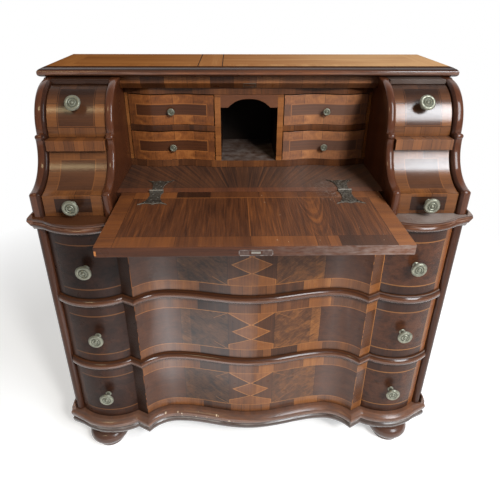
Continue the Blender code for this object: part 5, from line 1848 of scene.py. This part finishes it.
class DESK_OT_wing_drawers(DeskOperator, bpy.types.Operator):
    """Makes the bulging and hollow wing drawers"""
    bl_idname = "desk.wing_drawers"
    bl_label = "Wing Drawers"

    def make(self):
        for side, sign in SIDES:
            self.drawer("upper", side, sign, upper_wing_face())
            self.drawer("lower", side, sign, lower_wing_face())

    def drawer(self, row, side, sign, face):
        node = f"wing_drawer_{row}_{side}"
        low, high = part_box(node)
        top = face[-1][1]
        wall = face[-1][0] + SMALL_FRONT
        middle = sign * WING_MIDDLE
        rings = []
        for x, inset in eased(low.x, high.x, VENEER_EDGE):
            outline = drawn_in(face, inset) + [(wall, top), (wall, face[0][1])]
            rings.append(at_side(outline, x))
        front = lofted(f"wing_front_{row}_{side}", rings)
        heights = np.array([z for _, z in face])
        lengths = lengths_along(face)
        unwrap(front, lambda place: (place.x - middle, float(np.interp(place.z, heights, lengths))))
        place_piece(front, node, [f"wing_{row}", "edge"])
        paint(front, 1, lambda middle, normal: abs(normal.x) > SQUARE or normal.y > SQUARE or
              min(abs(middle.z - top), abs(middle.z - face[0][1])) < TOUCH)
        box = open_box(f"wing_box_{row}_{side}", (low.x, wall, low.z),
                       (high.x, high.y, top - SMALL_BOX_DROP), SMALL_WALL)
        place_piece(box, node, ["softwood"], stands_for=False)


class DESK_OT_top(DeskOperator, bpy.types.Operator):
    """Makes the top board with its moulded edge"""
    bl_idname = "desk.top"
    bl_label = "Top Board"

    def make(self):
        rings = []
        for level, share in smooth_line(TOP_PROFILE, 4):
            inset = TOP_EDGE * (1 - min(share, 1.0))
            x, y, z = EAR_X - inset, TOP_LOW.y + inset, TOP_BOTTOM + (TOP_HIGH.z - TOP_BOTTOM) * level
            rings.append([(-x, y, z), (x, y, z), (x, BACK, z), (-x, BACK, z)])
        top = lofted("moulded_top", rings)
        unwrap(top, flat_plan)
        place_piece(top, "top_board", ["top_edge", "top"])
        paint(top, 1, lambda middle, normal: normal.z > NEAR_FLAT)


class DESK_OT_frieze(DeskOperator, bpy.types.Operator):
    """Makes the rail that the fall shuts against, and the rails above the wing drawers"""
    bl_idname = "desk.frieze"
    bl_label = "Frieze Rail"

    def make(self):
        low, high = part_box("top_rail")
        reach = FALL_LENGTH + FALL_STOP_GAP
        thickness = FALL_HIGH.z - FALL_LOW.z
        lift = HINGE_Z - BED_TOP
        setback = HINGE_Y + FALL_LENGTH * math.cos(FALL_SLANT) - lift * math.sin(FALL_SLANT)
        front = setback - thickness * math.sin(FALL_SLANT)
        low_y = HINGE_Y + (reach - (low.z - HINGE_Z) * math.sin(FALL_SLANT)) / math.cos(FALL_SLANT)
        bevel_z = HINGE_Z + (reach - (front - HINGE_Y) * math.cos(FALL_SLANT)) / math.sin(FALL_SLANT)
        outline = [(front, high.z), (front, bevel_z), (low_y, low.z), (high.y, low.z), (high.y, high.z)]
        half = INTERIOR_X - FIT
        rail = lofted("frieze", [at_side(outline, x) for x in (-half, half)])
        bodies = [bevelled(rail, BOARD_EASE)]
        for side, sign in SIDES:
            near, far = sorted((sign * (WING_X + FIT), sign * (INNER_X - FIT)))
            bodies.append(board(f"wing_rail_{side}", (near, low.y, high.z - WING_RAIL_HEIGHT + FIT),
                                (far, high.y, high.z)))
        along = Vector((0.0, math.cos(FALL_SLANT), math.sin(FALL_SLANT)))
        across = Vector((0.0, -math.sin(FALL_SLANT), math.cos(FALL_SLANT)))
        bolt_z = (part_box("lock_bolt")[0].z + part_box("lock_bolt")[1].z) / 2
        middle = Vector((0.0, HINGE_Y, HINGE_Z)) + along * (reach - KEEPER_PROUD)
        middle += across * (HINGE_Z - bolt_z)
        frieze = joined(bodies)
        unwrap(frieze, front_plane)
        place_piece(frieze, "top_rail", ["frieze", "edge", "wing_rail"])
        paint(frieze, 1, lambda middle, normal: normal.y > SLANTED or abs(normal.x) > SQUARE)
        paint(frieze, 2, lambda middle, normal: abs(middle.x) > WING_X)

        wide, tall = BOLT_WIDTH / 2 + KEEPER_MARGIN, BOLT_HEIGHT / 2 + KEEPER_MARGIN
        rings = []
        for grow, level in KEEPER_SECTION:
            corners = ((-wide, -tall), (wide, -tall), (wide, tall), (-wide, tall))
            rings.append([middle + Vector((x + math.copysign(grow, x), 0.0, 0.0))
                          + across * (y + math.copysign(grow, y)) + along * level for x, y in corners])
        keeper = lofted("lock_keeper", rings)
        place_piece(keeper, "top_rail", ["iron"], stands_for=False)


class DESK_OT_bed(DeskOperator, bpy.types.Operator):
    """Makes the writing bed behind the hinges"""
    bl_idname = "desk.bed"
    bl_label = "Writing Bed"

    def make(self):
        bed = board("writing_surface", BED_LOW, BED_HIGH, BED_EASE)
        unwrap(bed, flat_plan)
        place_piece(bed, "writing_bed", ["edge", "bed"])
        paint(bed, 1, lambda middle, normal: normal.z > SQUARE)


class DESK_OT_fall(DeskOperator, bpy.types.Operator):
    """Makes the fall with its lock"""
    bl_idname = "desk.fall"
    bl_label = "Fall and Lock"

    def make(self):
        low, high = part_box("fall_board")
        lock_low, lock_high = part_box("fall_lock")
        fall = board("fall_flap", (low.x, low.y + FALL_EDGE_BACK, low.z), high, FALL_EASE)
        unwrap(fall, flat_plan)
        place_piece(fall, "fall_board", ["fall_edge", "fall_inside", "fall_outside"])
        paint(fall, 1, lambda middle, normal: normal.z > SQUARE)
        paint(fall, 2, lambda middle, normal: normal.z < -SQUARE)

        wide, tall = BOLT_WIDTH / 2 + BOLT_WAY[0], BOLT_HEIGHT / 2 + BOLT_WAY[1]
        middle_z = (lock_low.z + lock_high.z) / 2
        plate = open_plate("lock_plate", lock_low, lock_high, low.y, wide, tall)
        place_piece(plate, "fall_lock", ["lock", "niche_wall"])
        # Painted shade: the bolt's way through the plate takes the near-black walnut.
        paint(plate, 1, lambda middle, normal: abs(middle.x) <= wide and abs(middle.z - middle_z) <= tall)
        bolt_low, bolt_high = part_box("lock_bolt")
        bolt = board("lock_tongue", bolt_low, bolt_high, FINE_EASE)
        place_piece(bolt, "lock_bolt", ["steel"])


def cut_corners(low_x, low_z, high_x, high_z, cut):
    """A rectangle with its corners cut off."""
    return [(low_x + cut, low_z), (high_x - cut, low_z), (high_x, low_z + cut), (high_x, high_z - cut),
            (high_x - cut, high_z), (low_x + cut, high_z), (low_x, high_z - cut), (low_x, low_z + cut)]


def open_plate(name, low, high, front, wide, tall):
    """A lock plate with the bolt's way through it and a rounded screw at each end."""
    middle_z = (low.z + high.z) / 2
    outer = cut_corners(low.x, low.z, high.x, high.z, LOCK_CORNER)
    inner = cut_corners(-wide, middle_z - tall, wide, middle_z + tall, LOCK_WAY_CORNER)
    levels = zip((outer, outer, inner, inner), LOCK_LEVELS)
    plate = lofted(name, [[(x, front + depth, z) for x, z in ring] for ring, depth in levels])
    bodies = [bevelled(plate, LOCK_EASE)]
    for x in (low.x + SCREW_INSET, high.x - SCREW_INSET):
        place = pointing((0.0, 1.0, 0.0), (x, front, middle_z))
        bodies.append(turned(name + "_screw", SCREW_PROFILE, place))
    return joined(bodies)


class DESK_OT_hinges(DeskOperator, bpy.types.Operator):
    """Forges the fishtail hinges with their knuckles and nails"""
    bl_idname = "desk.hinges"
    bl_label = "Fishtail Hinges"

    def make(self):
        half, middle = HINGE_WIDTH / 2, HINGE_MIDDLE / 2
        outer = ((-half, -middle - FIT), (middle + FIT, half))
        for side, _ in SIDES:
            self.leaf(f"hinge_bed_leaf_{side}", 1, outer)
            self.leaf(f"hinge_fall_leaf_{side}", -1, ((-middle, middle),))

    def leaf(self, node, way, knuckles):
        low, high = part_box(node)
        center = (low.x + high.x) / 2
        half, length = HINGE_WIDTH / 2, HINGE_LEAF_LENGTH
        near = HINGE_BARREL + 2 * FIT
        corner = (HINGE_FLARE / 2, length)
        waist, cleft = [[(half * share, length * along) for share, along in line]
                        for line in (HINGE_WAIST, HINGE_CLEFT)]
        side = smooth_line([(half, near)] + waist + [corner], FISHTAIL_STEPS)
        tail = smooth_line([corner] + cleft, FISHTAIL_STEPS)
        right = side + tail[1:-1]
        ring = right + [cleft[-1]] + [(-x, y) for x, y in reversed(right)]
        bottom = BED_TOP + FIT
        start, left = HINGE_BEVEL
        levels = ((bottom, 1.0), (bottom + HINGE_LEAF * start, 1.0), (bottom + HINGE_LEAF, left))
        rings = [[(center + x * share, HINGE_Y + way * (near + (y - near) * (0.5 + share / 2)), z)
                  for x, y in ring] for z, share in levels]
        bodies = [lofted(node + "_forged", rings)]
        along = pointing((1.0, 0.0, 0.0), (center, HINGE_Y, HINGE_Z))
        for start, end in knuckles:
            rim = HINGE_BARREL * KNUCKLE_RIM
            barrel = [(0.0, start), (rim, start), (HINGE_BARREL, start + KNUCKLE_EASE),
                      (HINGE_BARREL, end - KNUCKLE_EASE), (rim, end), (0.0, end)]
            bodies.append(turned(node + "_knuckle", barrel, along))
            front, back = sorted((HINGE_Y, HINGE_Y + way * near * ROOT_REACH))
            bodies.append(board(node + "_root", (center + start, front, bottom),
                                (center + end, back, bottom + HINGE_LEAF), ROOT_EASE))
        for x, y in HINGE_NAILS:
            place = Matrix.Translation((center + x, HINGE_Y + way * y, bottom + HINGE_LEAF))
            bodies.append(turned(node + "_nail", NAIL_PROFILE, place))
        hinge = joined(bodies)
        place_piece(hinge, node, ["iron", "steel"])
        # Pale steel on the leaves' bevelled rims, a worn edge that is also a painted highlight, and on the
        # upper half of the knuckles, a painted highlight.
        low, high = HINGE_BEVEL_FACES
        paint(hinge, 1, lambda middle, normal: low < normal.z < high and
              middle.z < bottom + HINGE_LEAF + FIT)
        paint(hinge, 1, lambda middle, normal: middle.z > HINGE_Z + HINGE_BARREL / 2)


def ogee_board(name, start, end, sign, low, high, rear, ease):
    """A board with the ogee front between two distances from the middle."""
    rings = []
    for z, inset in eased(low, high, ease):
        line = [(sign * x, y + inset) for x, y in bay_line(start, end)]
        outline = line + [(sign * end, rear), (sign * start, rear)]
        rings.append(at_level(outline, z))
    return lofted(name, rings)


class DESK_OT_interior(DeskOperator, bpy.types.Operator):
    """Makes the fitted interior's base, top, ends and shelves"""
    bl_idname = "desk.interior"
    bl_label = "Fitted Interior"

    def make(self):
        rear = BACK_INNER - FIT
        end = INTERIOR_X - FIT
        for node, name in (("interior_base", "pigeonhole_base"), ("interior_frame", "pigeonhole_frame")):
            low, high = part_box(node)
            bottom = low.z if node == "interior_base" else INTERIOR_CEILING
            line = mirrored(bay_line(DIVIDER_X, end))
            rings = []
            for z, inset in eased(bottom, high.z, BOARD_EASE):
                outline = [(x, y + inset) for x, y in line] + [(end, rear), (-end, rear)]
                rings.append(at_level(outline, z))
            piece = lofted(name, rings)
            if node == "interior_frame":
                walls = [ogee_board(f"{name}_end_{side}", BAY_END_X, end - FIT, sign, INTERIOR_FLOOR + FIT,
                                    INTERIOR_CEILING + END_LAP, rear - FIT, END_EASE)
                         for side, sign in SIDES]
                piece = joined([piece] + walls)
            unwrap(piece, lambda place: (place.x if abs(place.x) < BAY_END_X - FIT else place.z, place.z))
            place_piece(piece, node, ["rail", "upright", "niche"])
            paint(piece, 1, lambda middle, normal: abs(middle.x) > BAY_END_X - FIT and
                  middle.z < INTERIOR_CEILING - FIT and middle.z > INTERIOR_FLOOR)
            paint(piece, 2, is_level)
        for side, sign in SIDES:
            node = f"interior_shelf_{side}"
            low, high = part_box(node)
            shelf = ogee_board(f"pigeonhole_shelf_{side}", DIVIDER_X + FIT, BAY_END_X - FIT, sign,
                               low.z, high.z, rear, SHELF_EASE)
            unwrap(shelf, front_plane)
            place_piece(shelf, node, ["shelf_rail"])


class DESK_OT_niche(DeskOperator, bpy.types.Operator):
    """Makes the niche: two uprights and an arched valance"""
    bl_idname = "desk.niche"
    bl_label = "Niche"

    def make(self):
        rear = BACK_INNER - FIT
        low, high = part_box("niche_frame")
        shoulder = high.z - ARCH_SHOULDER
        half = ARCH_WIDTH / 2
        crown = []
        for i in range(ARCH_STEPS + 1):
            x = -half + ARCH_WIDTH * i / ARCH_STEPS
            crown.append((x, shoulder + ARCH_RISE * (1 - abs(x / half) ** ARCH_FLATNESS)))
        edge = NICHE_WIDTH / 2 + VALANCE_LAP
        outline = [(-edge, high.z), (-edge, shoulder)] + crown + [(edge, shoulder), (edge, high.z)]
        front = low.y + FIT
        rings = [[(x, y, z) for x, z in outline] for y in (front, front + VALANCE_THICKNESS)]
        bodies = [bevelled(lofted("arched_niche", rings), BOARD_EASE)]
        for side, sign in SIDES:
            near, far = sorted((sign * NICHE_WIDTH / 2, sign * DIVIDER_X))
            bodies.append(board(f"niche_upright_{side}", (near, low.y, low.z), (far, rear, high.z)))
        niche = joined(bodies)
        unwrap(niche, lambda place: (place.z, place.x))
        place_piece(niche, "niche_frame", ["valance", "upright", "niche_wall"])
        paint(niche, 1, lambda middle, normal: abs(middle.x) > NICHE_WIDTH / 2)
        # Painted shade: the uprights' side faces take the near-black walnut.
        paint(niche, 2, lambda middle, normal: abs(normal.x) > SQUARE)


class DESK_OT_interior_drawers(DeskOperator, bpy.types.Operator):
    """Makes the four interior drawers with ogee fronts"""
    bl_idname = "desk.interior_drawers"
    bl_label = "Interior Drawers"

    def make(self):
        near, far = DIVIDER_X + RUNNING_GAP, BAY_END_X - RUNNING_GAP
        wall = max(y for _, y in bay_line(near, far)) + SMALL_WALL
        for row in ("lower", "upper"):
            for side, sign in SIDES:
                node = f"interior_drawer_{row}_{side}"
                low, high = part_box(node)
                height = high.z - low.z
                front = ogee_board(f"interior_front_{row}_{side}", near + WORN_GAP, far - WORN_GAP,
                                   sign, low.z, high.z - WORN_GAP, wall, VENEER_EDGE)
                unwrap(front, lambda place: (abs(place.x), (place.z - low.z) / height))
                place_piece(front, node, ["interior", "edge"])
                paint(front, 1, lambda middle, normal: is_level(middle, normal) or normal.y > SQUARE)
                box = open_box(f"interior_box_{row}_{side}", (low.x, wall, low.z),
                               (high.x, high.y, high.z), SMALL_WALL)
                place_piece(box, node, ["softwood"], stands_for=False)


class DESK_OT_bare_wood(DeskOperator, bpy.types.Operator):
    """Gives the long drawers' boxes and the back their bare softwood"""
    bl_idname = "desk.bare_wood"
    bl_label = "Bare Wood"

    def make(self):
        finishes = {"back_panel": "back"}
        for level in LONG_DRAWERS:
            finishes[f"long_drawer_{level}_box"] = "softwood"
        for node, finish in finishes.items():
            piece = frame["nodes"][node]
            piece.data.materials.clear()
            piece.data.materials.append(finish_named(finish))


class DESK_OT_stage(DeskOperator, bpy.types.Operator):
    """Lays the floor, hangs the lamps and sets the camera"""
    bl_idname = "desk.stage"
    bl_label = "Stage"

    def make(self):
        scene = bpy.context.scene
        stage = scene.desk_stage
        scene.view_settings.view_transform = "Standard"
        self.floor(stage)
        self.world(scene, stage)
        for name, key, tilt, size, colour in LAMPS:
            place, power = getattr(stage, key + "_place"), getattr(stage, key + "_power")
            lamp = self.lamp(name, place, tilt, size, power, colour)
            lamp.visible_glossy = name != "sun_lamp"
        self.camera(scene, stage)

    def floor(self, stage):
        deselect()
        bpy.ops.mesh.primitive_plane_add(size=FLOOR_SIZE)
        floor = bpy.context.object
        floor.name = "floor"
        graph = Graph("floor_paint")
        x, y, _ = graph.space()
        seen, mirrored_rays = graph.rays()
        coat = graph.node("ShaderNodeBsdfPrincipled", None,
                          {"Base Color": (*stage.floor, 1.0), "Roughness": 0.85, "Specular IOR Level": 0.1})
        glow = graph.node("ShaderNodeEmission", None, {"Strength": stage.floor_glow})
        pale = graph.node("ShaderNodeAddShader", None,
                          {0: Value(graph, coat.outputs[0]), 1: Value(graph, glow.outputs[0])})
        white = graph.node("ShaderNodeEmission", None, {"Strength": 1.0})
        far = ((x * x + y * y - 1.0) * 0.4).clamped()
        shader = graph.mixed_shaders(seen.above(mirrored_rays), coat, graph.mixed_shaders(far, pale, white))
        floor.data.materials.append(graph.shaded(shader))

    def world(self, scene, stage):
        world = bpy.data.worlds.new("studio")
        scene.world = world
        world.use_nodes = True
        graph = Graph("studio", world.node_tree)
        seen, mirrored_rays = graph.rays()
        behind = graph.space()[1].rising(0.25, 2.5)
        light = graph.node("ShaderNodeBackground", None,
                           {"Color": (0.97, 0.985, 1.0, 1.0), "Strength": stage.sky})
        backdrop = graph.node("ShaderNodeBackground", None,
                              {"Color": (1.0, 1.0, 1.0, 1.0), "Strength": 1.0})
        shader = graph.mixed_shaders(seen.above(mirrored_rays * behind), light, backdrop)
        graph.node("ShaderNodeOutputWorld", None, {"Surface": Value(graph, shader.outputs[0])})

    def lamp(self, name, place, tilt, size, power, colour):
        """A soft lamp square to the desk, tilted up from straight down by an angle in degrees."""
        deselect()
        bpy.ops.object.light_add(type="AREA", location=place)
        lamp = bpy.context.object
        lamp.name = name
        lamp.data.shape = "RECTANGLE"
        lamp.data.size, lamp.data.size_y = size
        lamp.data.energy = power
        lamp.data.color = colour
        lamp.rotation_euler = (math.radians(tilt), 0.0, 0.0)
        lamp.visible_camera = False
        return lamp

    def camera(self, scene, stage):
        deselect()
        bpy.ops.object.camera_add(location=stage.camera_place)
        camera = bpy.context.object
        camera.name = "photo_camera"
        turn = Matrix.Rotation(-stage.camera_yaw, 3, "Z")
        turn @= Matrix.Rotation(math.pi / 2 - stage.camera_pitch, 3, "X")
        turn @= Matrix.Rotation(stage.camera_roll, 3, "Z")
        camera.rotation_mode = "QUATERNION"
        camera.rotation_quaternion = turn.to_quaternion()
        camera.data.sensor_width = SENSOR
        camera.data.lens = SENSOR * stage.camera_focal
        camera.data.shift_x = 0.5 - stage.camera_middle[0]
        camera.data.shift_y = stage.camera_middle[1] - 0.5
        scene.camera = camera


OPERATORS = (DESK_OT_feet, DESK_OT_base, DESK_OT_sides, DESK_OT_dividers, DESK_OT_waist,
             DESK_OT_long_drawers, DESK_OT_wing_panels, DESK_OT_wing_shelves, DESK_OT_wing_drawers,
             DESK_OT_top, DESK_OT_frieze, DESK_OT_bed, DESK_OT_fall, DESK_OT_hinges, DESK_OT_interior,
             DESK_OT_niche, DESK_OT_interior_drawers, DESK_OT_knobs, DESK_OT_bare_wood, DESK_OT_stage)
GROUPS = (("desk_veneer", DeskVeneer), ("desk_metal", DeskMetal), ("desk_stage", DeskStage))


class DESK_PT_pieces(bpy.types.Panel):
    """Lists the desk's pieces and finishes"""
    bl_idname = "DESK_PT_pieces"
    bl_label = "Fall-Front Desk"
    bl_space_type = "VIEW_3D"
    bl_region_type = "UI"
    bl_category = "Desk"

    def draw(self, context):
        for name, group in GROUPS:
            column = self.layout.column()
            for key in group.__annotations__:
                column.prop(getattr(context.scene, name), key)
        for operator in OPERATORS:
            self.layout.operator(operator.bl_idname)


def register():
    for name, group in GROUPS:
        bpy.utils.register_class(group)
        setattr(bpy.types.Scene, name, PointerProperty(type=group))
    for operator in OPERATORS:
        bpy.utils.register_class(operator)
    bpy.utils.register_class(DESK_PT_pieces)


def unregister():
    bpy.utils.unregister_class(DESK_PT_pieces)
    for operator in reversed(OPERATORS):
        bpy.utils.unregister_class(operator)
    for name, group in reversed(GROUPS):
        delattr(bpy.types.Scene, name)
        bpy.utils.unregister_class(group)


def main():
    register()
    for operator in OPERATORS:
        group, name = operator.bl_idname.split(".")
        getattr(getattr(bpy.ops, group), name)()
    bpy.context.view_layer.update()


if __name__ == "__main__":
    main()
